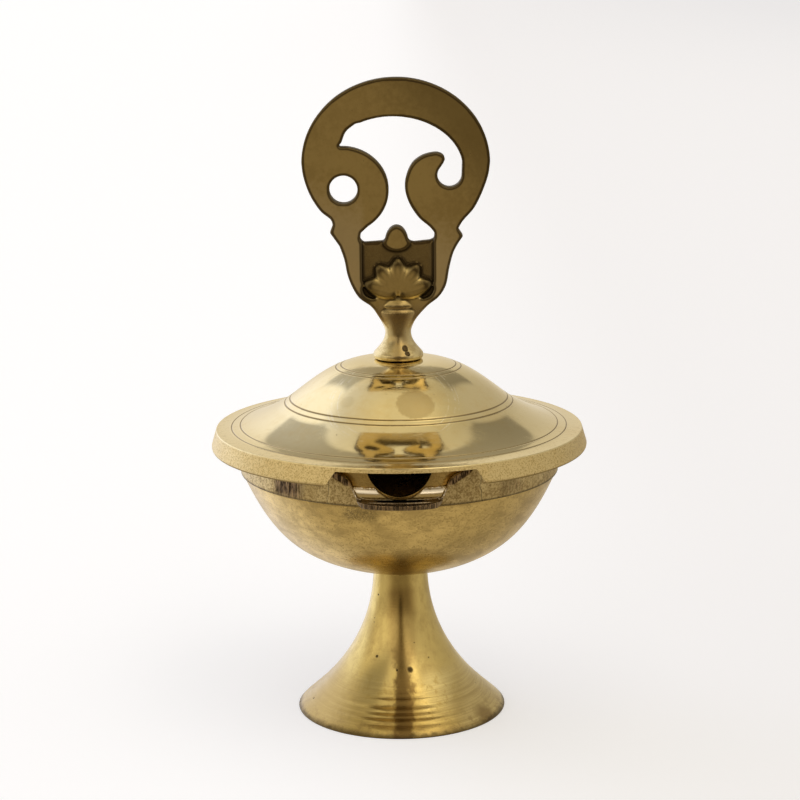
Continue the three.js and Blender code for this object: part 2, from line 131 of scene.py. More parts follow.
class CollarSizes(bpy.types.PropertyGroup):
    """Sizes of the collar and of the wick spout let into it."""

    radius: length("Radius", BAND_HIGH.x, "Outer radius of the collar")
    wall: length("Wall", 1.7 * MM, "Thickness of the collar's wall")
    left: length("Left seam", 18.4 * MM, "Distance of the left seam from the middle")
    right: length("Right seam", 21 * MM, "Distance of the right seam from the middle")
    seam: length("Seam", 0.05 * MM, "Width of the seams")
    floor: length("Spout floor", 1.55 * MM, "Thickness of the spout's floor")
    lip: length("Lip reach", 3.1 * MM, "How far the lip stands out of the collar")
    lip_half: length("Lip half width", 11.2 * MM, "Half the width of the lip")
    lip_fall: length("Lip fall", 0.75 * MM, "How far the lip's floor falls to its end")
    lip_rise: length("Lip rise", 3.3 * MM, "How far the lip's thin sides rise at the collar")
    strip: length("Filed strip", 1.75 * MM, "Width of the filed strip round the spout's opening")


class LidSizes(bpy.types.PropertyGroup):
    """Sizes of the domed lid."""

    radius: length("Skirt radius", (LID_HIGH.x - LID_LOW.x) / 2, "Radius at the foot of the skirt")
    bottom: length("Skirt bottom", LID_LOW.z, "Height of the skirt's lower edge")
    crown: length("Crown", LID_HIGH.z, "Height of the lid's top")
    seat: length("Seat", BOWL_HIGH.z + 0.3 * MM, "Height of the face that rests on the mouth")
    edge: length("Rim edge", BOWL_HIGH.z + 1.5 * MM, "Height of the crease between brim and skirt")
    flare: length("Flare", 1.3 * MM, "How far the skirt spreads below the rim")
    skirt_wall: length("Skirt wall", 1.9 * MM, "Thickness of the skirt")
    wall: length("Wall", 2.1 * MM, "Thickness of the dome")
    brim: length("Brim width", 16.6 * MM, "Width of the hollowed brim round the dome")
    brim_rise: length("Brim rise", 5.5 * MM, "How far the brim rises to the dome")
    notch_top: length("Notch top", 17.9 * MM, "Half the notch's width at its top")
    notch_bottom: length("Notch bottom", 20.6 * MM, "Half the notch's width at the skirt's edge")
    ring_width: length("Ring width", 0.4 * MM, "Width of an engraved ring")
    ring_depth: length("Ring depth", 0.11 * MM, "Depth of an engraved ring")
    turn: angle("Turn", 2, "Turn about Z")


class FinialSizes(bpy.types.PropertyGroup):
    """Sizes of the pierced plate and its stem."""

    top: length("Top", FINIAL_HIGH.z - 0.04 * MM, "Height of the arch's top")
    half_width: length("Half width", 25.05 * MM, "Half the width of the arch")
    rise: length("Arch rise", 22.4 * MM, "Height of the arch above its centre")
    neck_rise: length("Neck rise", 7.6 * MM, "Height of the stem's neck above the lid")
    head_rise: length("Head rise", 5.1 * MM, "Height of the stem's head above its neck")
    thickness: length("Thickness", 4.6 * MM, "Thickness of the plate")
    panel: length("Panel depth", 1.3 * MM, "How deep the panel is sunk")
    eye: length("Eye radius", 3.75 * MM, "Radius of the eye in the left scroll")
    grain: length("Grain", 0.266 * MM, "Size of the casting's smallest facets")
    petals: IntProperty(name="Petals", description="Petals in the panel", default=5, min=3, max=9)
    petal_length: length("Petal length", 8.8 * MM, "Length of a petal")
    petal_width: length("Petal width", 4.9 * MM, "Width of a petal")
    petal_spread: angle("Petal spread", 37, "Angle between two petals")


class FastenerSizes(bpy.types.PropertyGroup):
    """Sizes of the two nuts and their washers."""

    flats: length("Across flats", 10 * MM, "Width of a nut across its flats")
    bore: length("Bore", 3.05 * MM, "Radius of the holes")
    washer: length("Washer radius", WASHER_HIGH.x, "Outer radius of a washer")


class BrassColours(bpy.types.PropertyGroup):
    """The brass of each piece."""

    polished: tint("Polished", (0.82, 0.71, 0.42), "The lid's bright brass")
    satin: tint("Satin", (0.72, 0.53, 0.21), "The bowl's turned brass")
    yellow: tint("Yellow", (0.74, 0.59, 0.23), "The foot's turned brass")
    patina: tint("Patina", (0.40, 0.29, 0.11), "Brown clouds on the turned brass")
    cast: tint("Cast", (0.70, 0.57, 0.30), "The collar's and the spout's rough brass")
    olive: tint("Olive", (0.61, 0.475, 0.205), "The finial's tarnished face")
    # Besides grime in pits and specks, this colour paints shade: a painted shadow along the lid skirt's
    # lower edge, and painted shade on the finial's walls and edges.
    dirt_and_shade: tint("Dirt", (0.05, 0.034, 0.016), "Dirt in recesses, pits and specks")
    dull: tint("Dull", (0.45, 0.33, 0.16), "Nuts, washers and insides")


class StudioSettings(bpy.types.PropertyGroup):
    """The floor, light and camera."""

    # The floor's glow is painted light that lightens the floor and the lamp's shadow on it.
    floor: tint("Floor", (0.6, 0.665, 0.86), "Colour of the light table")
    painted_glow: strength("Glow", 0.48, "Strength of the light table's own light")
    room: strength("Room light", 1.0, "Strength of the light all round")
    sun: strength("Key light", 0.2, "Strength of the soft key light")
    distance: length("Camera distance", 0.58407, "Distance of the camera in front of the lamp's axis")
    height: length("Camera height", 0.21306, "Height of the camera")
    sideways: length("Camera offset", 0.33 * MM, "How far the camera stands to the right")
    lens: FloatProperty(name="Lens", description="Focal length", default=98.75, unit="CAMERA")
    pitch: angle("Pitch", 12.2, "How far the camera looks down")
    roll: angle("Roll", -0.567, "Turn of the camera about its view")


def bezier(controls, steps):
    """Points on a cubic curve of four control points."""
    a, b, c, d = (np.array(point, float) for point in controls)
    t = np.linspace(0, 1, steps + 1)[:, None]
    return (1 - t) ** 3 * a + 3 * (1 - t) ** 2 * t * b + 3 * (1 - t) * t**2 * c + t**3 * d


def bend(start, corner, end, steps):
    """Points on a quadratic curve that rounds a corner."""
    a, b, c = (np.array(point, float) for point in (start, corner, end))
    t = np.linspace(0, 1, steps + 1)[:, None]
    return (1 - t) ** 2 * a + 2 * (1 - t) * t * b + t**2 * c


def arc(centre, radius_x, radius_y, start, end, steps):
    """Points on an ellipse from one angle to another, in degrees."""
    turn = np.radians(np.linspace(start, end, steps + 1))
    return np.stack([centre[0] + radius_x * np.cos(turn), centre[1] + radius_y * np.sin(turn)], 1)


def through(points, steps=6):
    """A smooth curve through chosen points."""
    points = np.array(points, float)
    padded = np.vstack([2 * points[0] - points[1], points, 2 * points[-1] - points[-2]])
    curve = []
    for before, start, end, after in zip(padded, padded[1:], padded[2:], padded[3:]):
        t = np.linspace(0, 1, steps, endpoint=False)[:, None]
        linear = (end - before) * t
        square = (2 * before - 5 * start + 4 * end - after) * t**2
        cube = (3 * start - before - 3 * end + after) * t**3
        curve.append(start + (linear + square + cube) / 2)
    return np.vstack([*curve, points[-1:]])


def shifted(path, wall):
    """A path moved to its left by a wall's thickness."""
    along = np.gradient(path, axis=0)
    along /= np.linalg.norm(along, axis=1, keepdims=True)
    return path + wall * np.stack([-along[:, 1], along[:, 0]], 1)


def softened(path, radius, closed=True):
    """A path whose sharp corners are rounded."""
    least_turn = math.radians(25)
    path = np.vstack([np.atleast_2d(part) for part in path])
    result = []
    for i, corner in enumerate(path):
        back = path[i - 1] - corner
        on = path[(i + 1) % len(path)] - corner
        back_length = np.linalg.norm(back)
        on_length = np.linalg.norm(on)
        cosine = np.dot(back, on) / max(back_length * on_length, 1e-12)
        turn = math.pi - math.acos(np.clip(cosine, -1, 1))
        if turn < least_turn or (not closed and i in (0, len(path) - 1)):
            result.append(corner[None])
            continue
        reach = min(radius * math.tan(turn / 2), 0.45 * back_length, 0.45 * on_length)
        start = corner + back / back_length * reach
        end = corner + on / on_length * reach
        result.append(bend(start, corner, end, 4))
    return np.vstack(result)


def divided(path, longest, closed=True):
    """A path with its long spans divided, and a point close to each end of such a span."""
    close = 0.1 * MM
    result = []
    last = len(path) if closed else len(path) - 1
    for i in range(last):
        start = path[i]
        end = path[(i + 1) % len(path)]
        span = np.linalg.norm(end - start)
        result.append(start[None])
        if span < longest:
            continue
        inner = np.linspace(close / span, 1 - close / span, math.ceil(span / longest) + 1)[:, None]
        result.append(start + (end - start) * inner)
    if not closed:
        result.append(path[-1:])
    return np.vstack(result)


def new_object(name, mesh):
    """An object at the origin that shows a mesh."""
    piece = bpy.data.objects.new(name, mesh)
    bpy.context.scene.collection.objects.link(piece)
    return piece


def solid(name, vertices, faces):
    """An object from vertices in metres and faces that point out."""
    mesh = bpy.data.meshes.new(name)
    mesh.from_pydata([tuple(vertex) for vertex in vertices], [], faces)
    mesh.validate()
    return new_object(name, mesh)


def turned(name, path, sides, closed=True):
    """A path of radius and height turned about Z. The outer side of the path goes up."""
    on_axis = 1e-7
    vertices = []
    rings = []
    angles = np.arange(sides) * 2 * math.pi / sides
    for radius, height in path:
        if radius < on_axis:
            rings.append([len(vertices)] * sides)
            vertices.append((0, 0, height))
            continue
        rings.append(list(range(len(vertices), len(vertices) + sides)))
        vertices += [(radius * math.cos(a), radius * math.sin(a), height) for a in angles]
    faces = []
    for i in range(len(path) if closed else len(path) - 1):
        low = rings[i]
        high = rings[(i + 1) % len(path)]
        for j in range(sides):
            k = (j + 1) % sides
            corners = [low[j], low[k], high[k], high[j]]
            face = list(dict.fromkeys(corners))
            if len(face) > 2:
                faces.append(face)
    return solid(name, vertices, faces)


def upright(name, outlines, front, back):
    """Closed outlines in X and Z, holes among them, made solid from front to back along Y."""
    curve = bpy.data.curves.new(name, "CURVE")
    curve.dimensions = "2D"
    curve.fill_mode = "BOTH"
    curve.extrude = (back - front) / 2
    for outline in outlines:
        spline = curve.splines.new("POLY")
        spline.points.add(len(outline) - 1)
        for point, (x, z) in zip(spline.points, outline):
            point.co = (x, z, 0, 1)
        spline.use_cyclic_u = True
    drawn = new_object(name, curve)
    mesh = evaluated(drawn)
    discard(drawn)
    middle = Matrix.Translation((0, (front + back) / 2, 0))
    mesh.transform(middle @ Matrix.Rotation(math.pi / 2, 4, "X"))
    merge(mesh)
    return new_object(name, mesh)


def lying(name, plan, low, high):
    """A closed outline in X and Y, made solid from a low height to a high one."""
    block = upright(name, [plan], 0, high - low)
    block.data.transform(Matrix.Rotation(-math.pi / 2, 4, "X"))
    top = positions(block.data)[:, 2].max() * MM
    block.data.transform(Matrix.Translation((0, 0, high - top)))
    return block


def sideways(name, outline, half_width):
    """A closed outline in Y and Z, made solid across X."""
    block = upright(name, [outline], -half_width, half_width)
    block.data.transform(Matrix.Rotation(math.pi / 2, 4, "Z"))
    return block


def evaluated(piece):
    """A plain mesh of an object with its modifiers carried out."""
    depsgraph = bpy.context.evaluated_depsgraph_get()
    return bpy.data.meshes.new_from_object(piece.evaluated_get(depsgraph))


def discard(piece):
    """Removes a helper object and its data."""
    data = piece.data
    bpy.data.objects.remove(piece)
    if data.users == 0 and isinstance(data, bpy.types.Mesh):
        bpy.data.meshes.remove(data)


def merge(mesh):
    """Joins a mesh's doubled vertices and turns its faces outwards."""
    distance = 0.001 * MM
    work = bmesh.new()
    work.from_mesh(mesh)
    bmesh.ops.remove_doubles(work, verts=work.verts, dist=distance)
    bmesh.ops.recalc_face_normals(work, faces=work.faces)
    work.to_mesh(mesh)
    work.free()


def settle(piece):
    """Carries out an object's modifiers on its own mesh."""
    mesh = evaluated(piece)
    piece.modifiers.clear()
    piece.data = mesh
    return piece


def carve(piece, tool, operation="DIFFERENCE"):
    """Cuts a piece with a tool, or joins or intersects the two, and uses the tool up."""
    step = piece.modifiers.new("carve", "BOOLEAN")
    step.solver = "EXACT"
    step.operation = operation
    step.object = tool
    settle(piece)
    discard(tool)
    return piece


def cast(piece, grain, smoothing):
    """Gives a piece one even skin with the soft edges of a casting."""
    remesh = piece.modifiers.new("remesh", "REMESH")
    remesh.mode = "VOXEL"
    remesh.voxel_size = grain
    remesh.adaptivity = 0
    smooth = piece.modifiers.new("smooth", "SMOOTH")
    smooth.factor = 0.5
    smooth.iterations = smoothing
    return settle(piece)


def join(piece, *others):
    """Puts other objects' meshes into the first one's mesh."""
    work = bmesh.new()
    for part in (piece, *others):
        work.from_mesh(part.data)
    work.to_mesh(piece.data)
    work.free()
    for other in others:
        discard(other)
    return piece


def positions(mesh):
    """A mesh's vertices as an array, in millimetres."""
    place = np.empty(len(mesh.vertices) * 3, np.float32)
    mesh.vertices.foreach_get("co", place)
    return place.reshape(-1, 3) / MM


def uneven(piece, size, amount, seed):
    """Moves a piece's skin in and out a little, as hand work leaves it, but not its lowest edge."""
    mesh = piece.data
    offset = Vector((seed, 2.3 * seed, 0.7 * seed))
    normals = [vertex.normal.copy() for vertex in mesh.vertices]
    rest = min(vertex.co.z for vertex in mesh.vertices) + 0.2 * MM
    for vertex, normal in zip(mesh.vertices, normals):
        if vertex.co.z > rest:
            vertex.co += normal * noise.noise(vertex.co / size + offset) * amount
    return piece


def mark(mesh, name, values):
    """Writes one number for each vertex, for a material to read."""
    attribute = mesh.attributes.new(name, "FLOAT", "POINT")
    attribute.data.foreach_set("value", np.asarray(values, np.float32))


def mark_edges(mesh, reach, rounds):
    """Marks convex edges above a half and hollow ones below, from how far a vertex stands out."""
    place = positions(mesh)
    start = place.copy()
    ends = np.empty(len(mesh.edges) * 2, np.int32)
    mesh.edges.foreach_get("vertices", ends)
    a, b = ends.reshape(-1, 2).T
    count = np.bincount(np.r_[a, b], minlength=len(place))[:, None]
    for _ in range(rounds):
        total = np.zeros_like(place)
        np.add.at(total, a, place[b])
        np.add.at(total, b, place[a])
        place = total / np.maximum(count, 1)
    normals = np.array([vertex.normal for vertex in mesh.vertices])
    stands_out = ((start - place) * normals).sum(1)
    mark(mesh, "edge", np.clip(0.5 + 0.5 * stands_out / reach, 0, 1))


def smoothstep(value, low, high):
    """0 below low, 1 above high, and a smooth rise between."""
    t = np.clip((value - low) / (high - low), 0, 1)
    return t * t * (3 - 2 * t)


def plateau(value, low, rise, fall, high):
    """1 from rise to fall, 0 below low and above high, and smooth between."""
    return smoothstep(value, low, rise) * (1 - smoothstep(value, fall, high))


def distance_to(path, points):
    """The distance of each point from an open path."""
    best = np.full(len(points), np.inf)
    for start, end in zip(path, path[1:]):
        along = end - start
        share = np.clip(((points - start) @ along) / (along @ along), 0, 1)[:, None]
        best = np.minimum(best, np.linalg.norm(points - start - share * along, axis=1))
    return best


def dress(piece, body, slot, material, *nodes):
    """Finishes a piece: smooth faces, its brass, the body it rides on and the nodes it stands for."""
    mesh = piece.data
    mesh.materials.clear()
    mesh.materials.append(material)
    mesh.polygons.foreach_set("use_smooth", [True] * len(mesh.polygons))
    mesh.set_sharp_from_angle(angle=math.radians(40))
    mesh.name = piece.name
    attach(piece, body)
    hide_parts(*nodes)


class Wire:
    """An output socket. Sums and products of wires add Math nodes."""

    def __init__(self, board, socket):
        self.board = board
        self.socket = socket

    def __add__(self, other):
        return self.board.math("ADD", self, other)

    def __sub__(self, other):
        return self.board.math("SUBTRACT", self, other)

    def __rsub__(self, other):
        return self.board.math("SUBTRACT", other, self)

    def __mul__(self, other):
        return self.board.math("MULTIPLY", self, other)

    def __truediv__(self, other):
        return self.board.math("DIVIDE", self, other)

    def __rtruediv__(self, other):
        return self.board.math("DIVIDE", other, self)

    def __pow__(self, other):
        return self.board.math("POWER", self, other)

    def __rpow__(self, other):
        return self.board.math("POWER", other, self)

    def __abs__(self):
        return self.board.math("ABSOLUTE", self)

    __radd__ = __add__
    __rmul__ = __mul__


class Board:
    """A node tree that is wired up by expressions."""

    def __init__(self, tree):
        self.tree = tree
        tree.nodes.clear()

    def node(self, kind, settings=None, values=None):
        """Adds a node, with its settings set first and then its inputs' values or links."""
        made = self.tree.nodes.new(kind)
        for name, value in (settings or {}).items():
            setattr(made, name, value)
        for name, value in (values or {}).items():
            if isinstance(value, Wire):
                self.tree.links.new(value.socket, made.inputs[name])
            else:
                made.inputs[name].default_value = value
        return made

    def wire(self, kind, settings=None, values=None, output=0):
        """Adds a node and gives one of its outputs."""
        return Wire(self, self.node(kind, settings, values).outputs[output])

    def axes(self, vector):
        """The three numbers of a vector."""
        parts = self.node("ShaderNodeSeparateXYZ", {}, {0: vector})
        return [Wire(self, socket) for socket in parts.outputs]

    def math(self, operation, first, second=0.0):
        """A Math node's result for one or two numbers."""
        return self.wire("ShaderNodeMath", {"operation": operation}, {0: first, 1: second})

    def step(self, value, low, high):
        """0 below low, 1 above high, and a smooth rise between."""
        settings = {"interpolation_type": "SMOOTHSTEP"}
        return self.wire("ShaderNodeMapRange", settings, {"Value": value, 1: low, 2: high})

    def fall(self, value, low, high):
        """1 below low, 0 above high, and a smooth fall between."""
        return 1 - self.step(value, low, high)

    def band(self, value, middle, half, soft):
        """1 close to the middle value, and 0 away from it."""
        return self.fall(abs(value - middle), half - soft, half + soft)

    def most(self, *masks):
        """The greatest of several masks."""
        result = masks[0]
        for other in masks[1:]:
            result = self.math("MAXIMUM", result, other)
        return result

    def mix(self, factor, first, second):
        """A colour between two colours."""
        settings = {"data_type": "RGBA", "clamp_factor": True}
        colours = [c if isinstance(c, Wire) else (*c, 1) for c in (first, second)]
        values = {0: factor, 6: colours[0], 7: colours[1]}
        return self.wire("ShaderNodeMix", settings, values, 2)

    def layered(self, colour, *layers):
        """A colour with others laid over it in turn, each as strongly as its mask says."""
        for mask, over in layers:
            colour = self.mix(mask, colour, over)
        return colour

    def noise(self, place, scale, detail=3.0, roughness=0.55, distortion=0.0):
        """Cloudy noise from 0 to 1. The scale is in waves for each millimetre."""
        values = {"Vector": place, "Scale": scale, "Detail": detail, "Roughness": roughness}
        values["Distortion"] = distortion
        return self.wire("ShaderNodeTexNoise", {}, values)

    def stretched(self, place, scale, turn=0.0, offset=(0, 0, 0)):
        """A place turned about Z and stretched, for patterns with a direction."""
        settings = {"vector_type": "POINT"}
        values = {"Vector": place, "Location": offset, "Rotation": (0, 0, turn), "Scale": scale}
        return self.wire("ShaderNodeMapping", settings, values)

    def hairs(self, place, scale, thickness, turn=0.0, offset=(0, 0, 0)):
        """Thin wandering lines, 1 on a line."""
        pattern = self.noise(self.stretched(place, scale, turn, offset), 1.0, 2.0, 0.4)
        return self.fall(abs(pattern - 0.5), 0.0, thickness)

    def specks(self, place, spacing, size, share, seed=0.0):
        """Round specks in a share of the cells of a grid, 1 inside a speck."""
        shift = {0: place, 1: (seed, seed, seed)}
        moved = self.wire("ShaderNodeVectorMath", {"operation": "ADD"}, shift)
        cells = self.node("ShaderNodeTexVoronoi", {}, {"Vector": moved, "Scale": 1 / spacing})
        distance = Wire(self, cells.outputs["Distance"])
        pick = self.wire("ShaderNodeSeparateColor", {}, {0: Wire(self, cells.outputs["Color"])})
        chosen = self.step(pick, 1 - share, 1 - share + 0.02)
        return self.fall(distance, 0.4 * size / spacing, size / spacing) * chosen


class Brass(Board):
    """A brass material. Its places, and the heights for its bumps, are in millimetres."""

    def __init__(self, name):
        material = bpy.data.materials.new(name)
        material.use_nodes = True
        super().__init__(material.node_tree)
        self.material = material
        coordinates = self.wire("ShaderNodeTexCoord", output="Object")
        scale = {"operation": "SCALE"}
        self.place = self.wire("ShaderNodeVectorMath", scale, {0: coordinates, "Scale": 1 / MM})
        self.x, self.y, self.z = self.axes(self.place)
        self.radius = (self.x * self.x + self.y * self.y) ** 0.5
        per_radian = 10.0
        turn = self.math("ARCTAN2", self.y, self.x) * per_radian
        around = {"X": self.radius, "Y": turn, "Z": self.z}
        self.around = self.wire("ShaderNodeCombineXYZ", {}, around)
        _, self.facing_y, self.facing_z = self.axes(self.wire("ShaderNodeNewGeometry", output="Normal"))

    def attribute(self, name):
        """A number that the mesh holds for each vertex."""
        return self.wire("ShaderNodeAttribute", {"attribute_name": name}, output="Fac")

    def away_from(self, centre):
        """The distance from a point."""
        settings = {"operation": "DISTANCE"}
        return self.wire("ShaderNodeVectorMath", settings, {0: self.place, 1: centre}, "Value")

    def spot(self, centre, size, soft):
        """1 inside a ragged ball about a point, for a single stain or pit."""
        ragged = self.away_from(centre) + (self.noise(self.place, 0.9, 3.0) - 0.5) * size * 0.35
        return self.fall(ragged, size - soft, size)

    def finish(self, colour, roughness, height):
        """Joins the colour, the roughness and the bump to the shader."""
        limited = self.math("MINIMUM", self.math("MAXIMUM", roughness, 0.03), 1.0)
        bump = self.wire("ShaderNodeBump", {}, {"Strength": 1.0, "Distance": MM, "Height": height})
        shader = self.wire("ShaderNodeBsdfPrincipled", {}, {
            "Base Color": colour, "Metallic": 1.0, "Roughness": limited, "Normal": bump,
        })
        self.node("ShaderNodeOutputMaterial", {}, {"Surface": shader})
        return self.material


# The colours that belong to one place on the lamp: wear, grime and old polish, and on the foot and the
# spout painted highlights, painted light and shade and a painted dark reflection.
GLINT = (0.95, 0.9, 0.75)
SKIRT_SPECKLE = (0.42, 0.31, 0.12)
RING_DIRT = (0.17, 0.105, 0.04)
BOSS_BROWN = (0.20, 0.108, 0.028)
# Painted on the foot: the glare's painted highlight, and the painted light and shade of its lit right
# side and shaded left side.
PAINTED_GLARE_YELLOW = (0.97, 0.83, 0.40)
PAINTED_LIT_SIDE = (0.93, 0.79, 0.40)
PAINTED_SHADED_SIDE = (0.46, 0.34, 0.14)
BURNT_BROWN = (0.2, 0.12, 0.06)
# Painted on the foot: the brown and the dark core of a painted reflection of the dark stripe in front.
PAINTED_STRIPE_BROWN = (0.30, 0.18, 0.06)
PAINTED_STRIPE_CORE = (0.13, 0.075, 0.025)
PIT_BROWN = (0.27, 0.18, 0.07)
# The polished spout's pale cream, a painted highlight where it lies on the opening's thin low edge.
SPOUT_CREAM = (0.84, 0.77, 0.66)
SPOUT_BED = (0.13, 0.085, 0.04)
FILE_RIDGE = (0.44, 0.31, 0.18)
FILE_GROOVE = (0.05, 0.032, 0.016)
BARE_CAST = (0.78, 0.66, 0.42)
AGED_OLIVE = (0.27, 0.20, 0.08)
STEM_SHADE = (0.2, 0.13, 0.05)
STEM_TOP = (0.25, 0.16, 0.06)
PANEL_DIRT = (0.075, 0.045, 0.018)


def polished_brass(colours, sizes):
    """The lid: mirror bright above with fine scratches, satin on the skirt, grime in the rings, and a
    painted shadow along the skirt's lower edge.
    """
    m = Brass("polished_brass")
    edge, bottom = sizes.edge / MM, sizes.bottom / MM
    outermost = m.step(m.radius, 48.0, 48.6)
    skirt = m.fall(m.z, edge - 0.35, edge - 0.1) * outermost
    # A painted shadow: the skirt's lowest half millimetre is darkened, as the shade between the lid and
    # the collar.
    skirt_edge_shadow = m.fall(m.z, bottom + 0.15, bottom + 0.5) * outermost
    inside = m.fall(m.facing_z, -0.3, -0.1)
    radii = [radius / MM for radius in lid_rings(sizes)]
    rings = m.most(*[m.band(m.radius, radius, 0.16, 0.07) for radius in radii])
    rings = rings * (1 - skirt) * (1 - inside)
    burrs = m.most(*[m.band(m.radius, radius + 0.33, 0.10, 0.08) for radius in radii])
    clouds = m.noise(m.place, 0.07, 3.0)
    fine_clouds = m.noise(m.place, 0.45, 5.0, 0.62)
    stain = m.step(clouds * 0.6 + fine_clouds * 0.4, 0.46, 0.66)
    thumb = m.spot((4.3, -25.1, 91.0), 5.4, 0.9)
    thumb = m.most(thumb, m.spot((-13.5, -21.5, 91.0), 2.6, 1.2) * 0.35)
    specks = m.most(m.specks(m.place, 3.2, 0.2, 0.35), m.specks(m.place, 1.7, 0.11, 0.3, 7.0))
    scratches = m.most(
        m.hairs(m.place, (0.09, 1.3, 0.3), 0.018, 0.4),
        m.hairs(m.place, (0.11, 1.7, 0.4), 0.014, -0.8, (3, 9, 2)),
        m.hairs(m.place, (0.10, 1.5, 0.3), 0.014, 1.7, (8, 1, 5)),
    )
    scratches = scratches * m.step(m.noise(m.place, 0.12), 0.42, 0.62)
    away = m.away_from((-1.5, -22.0, 90.5))
    arcs = m.most(
        m.band(away, 16.4, 0.2, 0.3), m.band(away, 14.6, 0.12, 0.2), m.band(away, 17.3, 0.1, 0.15)
    )
    arcs = arcs * m.step(m.noise(m.place, 0.3, 4.0, 0.7), 0.42, 0.6) * m.fall(m.radius, 31.0, 37.0)
    turning = m.noise(m.stretched(m.around, (4.2, 0.06, 4.2)), 1.0, 3.0, 0.6)
    grit = m.noise(m.place, 2.4, 4.0, 0.75)
    rough_edge = m.step(m.radius, 45.0, 48.5) * m.step(m.noise(m.place, 0.8, 4.0, 0.7), 0.5, 0.68)
    colour = m.layered(
        colours.polished,
        (stain * 0.3, colours.satin),
        (thumb * 0.5, colours.patina),
        (arcs * 0.5, GLINT),
        (skirt * 0.4, colours.satin),
        (skirt * m.step(grit, 0.48, 0.6) * 0.75, SKIRT_SPECKLE),
        (rough_edge * (1 - skirt) * 0.3, colours.patina),
        (specks * 0.85, colours.dirt_and_shade),
        (rings * 0.8, RING_DIRT),
        # Painted shadow along the skirt's lower edge.
        (skirt_edge_shadow * 0.8, colours.dirt_and_shade),
        (inside * 0.6, colours.patina),
    )
    rough = 0.07 + stain * 0.06 + scratches * 0.10 + arcs * 0.22 + skirt * (0.22 + grit * 0.14)
    rough = rough + rings * 0.25 + inside * 0.25 + specks * 0.3 + thumb * 0.10 + rough_edge * 0.12
    wave = m.noise(m.place, 0.055, 1.0, 0.4) * 0.08 + m.noise(m.place, 0.16, 1.0, 0.4) * 0.010
    height = wave * (1 - skirt) + turning * 0.0012 - scratches * 0.0016 - specks * 0.02
    height = height + skirt * (grit * 0.07 + m.noise(m.place, 1.0, 2.0) * 0.04) + burrs * 0.02
    return m.finish(colour, rough, height)


def turned_brass(colours, sizes):
    """The bowl: satin, with brown clouds, swirls of old polish and a scratched patch under the lip."""
    m = Brass("bowl_brass")
    clouds = m.noise(m.place, 0.05, 4.0, 0.6)
    patches = m.noise(m.stretched(m.place, (0.16, 0.16, 0.3)), 1.0, 5.0, 0.62, 0.5)
    stain = m.step(clouds * 0.45 + patches * 0.55, 0.38, 0.62)
    turning = m.noise(m.stretched(m.around, (1.5, 0.05, 2.6)), 1.0, 4.0, 0.65)
    swirls = m.noise(m.place, 0.7, 5.0, 0.62, 2.2)
    grain = m.noise(m.place, 2.6, 4.0, 0.7)
    # A worn, scratched patch under the lip.
    wear_and_glare = m.band(m.x, -10.2, 4.4, 1.6) * m.band(m.z, 65.6, 2.0, 1.3) * m.fall(m.y, -20.0, -15.0)
    upward = m.hairs(m.place, (2.4, 1.0, 1.3), 0.09)
    across = m.hairs(m.place, (1.2, 1.0, 2.6), 0.09, 0, (5, 0, 3))
    hatch = m.most(upward, across) * wear_and_glare
    boss = m.fall(m.radius, sizes.boss / MM - 0.25, sizes.boss / MM) * m.fall(m.z, 43.5, 44.0)
    specks = m.most(m.specks(m.place, 4.0, 0.18, 0.4, 3.0), m.specks(m.place, 1.5, 0.12, 0.25, 9.0))
    colour = m.layered(
        colours.satin,
        (stain * 0.8, colours.patina),
        (m.step(swirls, 0.49, 0.62) * 0.6, colours.patina),
        (m.step(grain, 0.55, 0.72) * 0.45, colours.patina),
        (wear_and_glare * 0.35, colours.patina),
        (hatch * 0.6, colours.dirt_and_shade),
        (specks * 0.7, colours.dirt_and_shade),
        (boss * 0.9, BOSS_BROWN),
    )
    rough = 0.2 + stain * 0.07 + m.step(swirls, 0.4, 0.8) * 0.1 + turning * 0.05 + boss * 0.06
    height = turning * 0.008 + swirls * 0.012 + grain * 0.006 - hatch * 0.02 - specks * 0.02
    return m.finish(colour, rough, height)


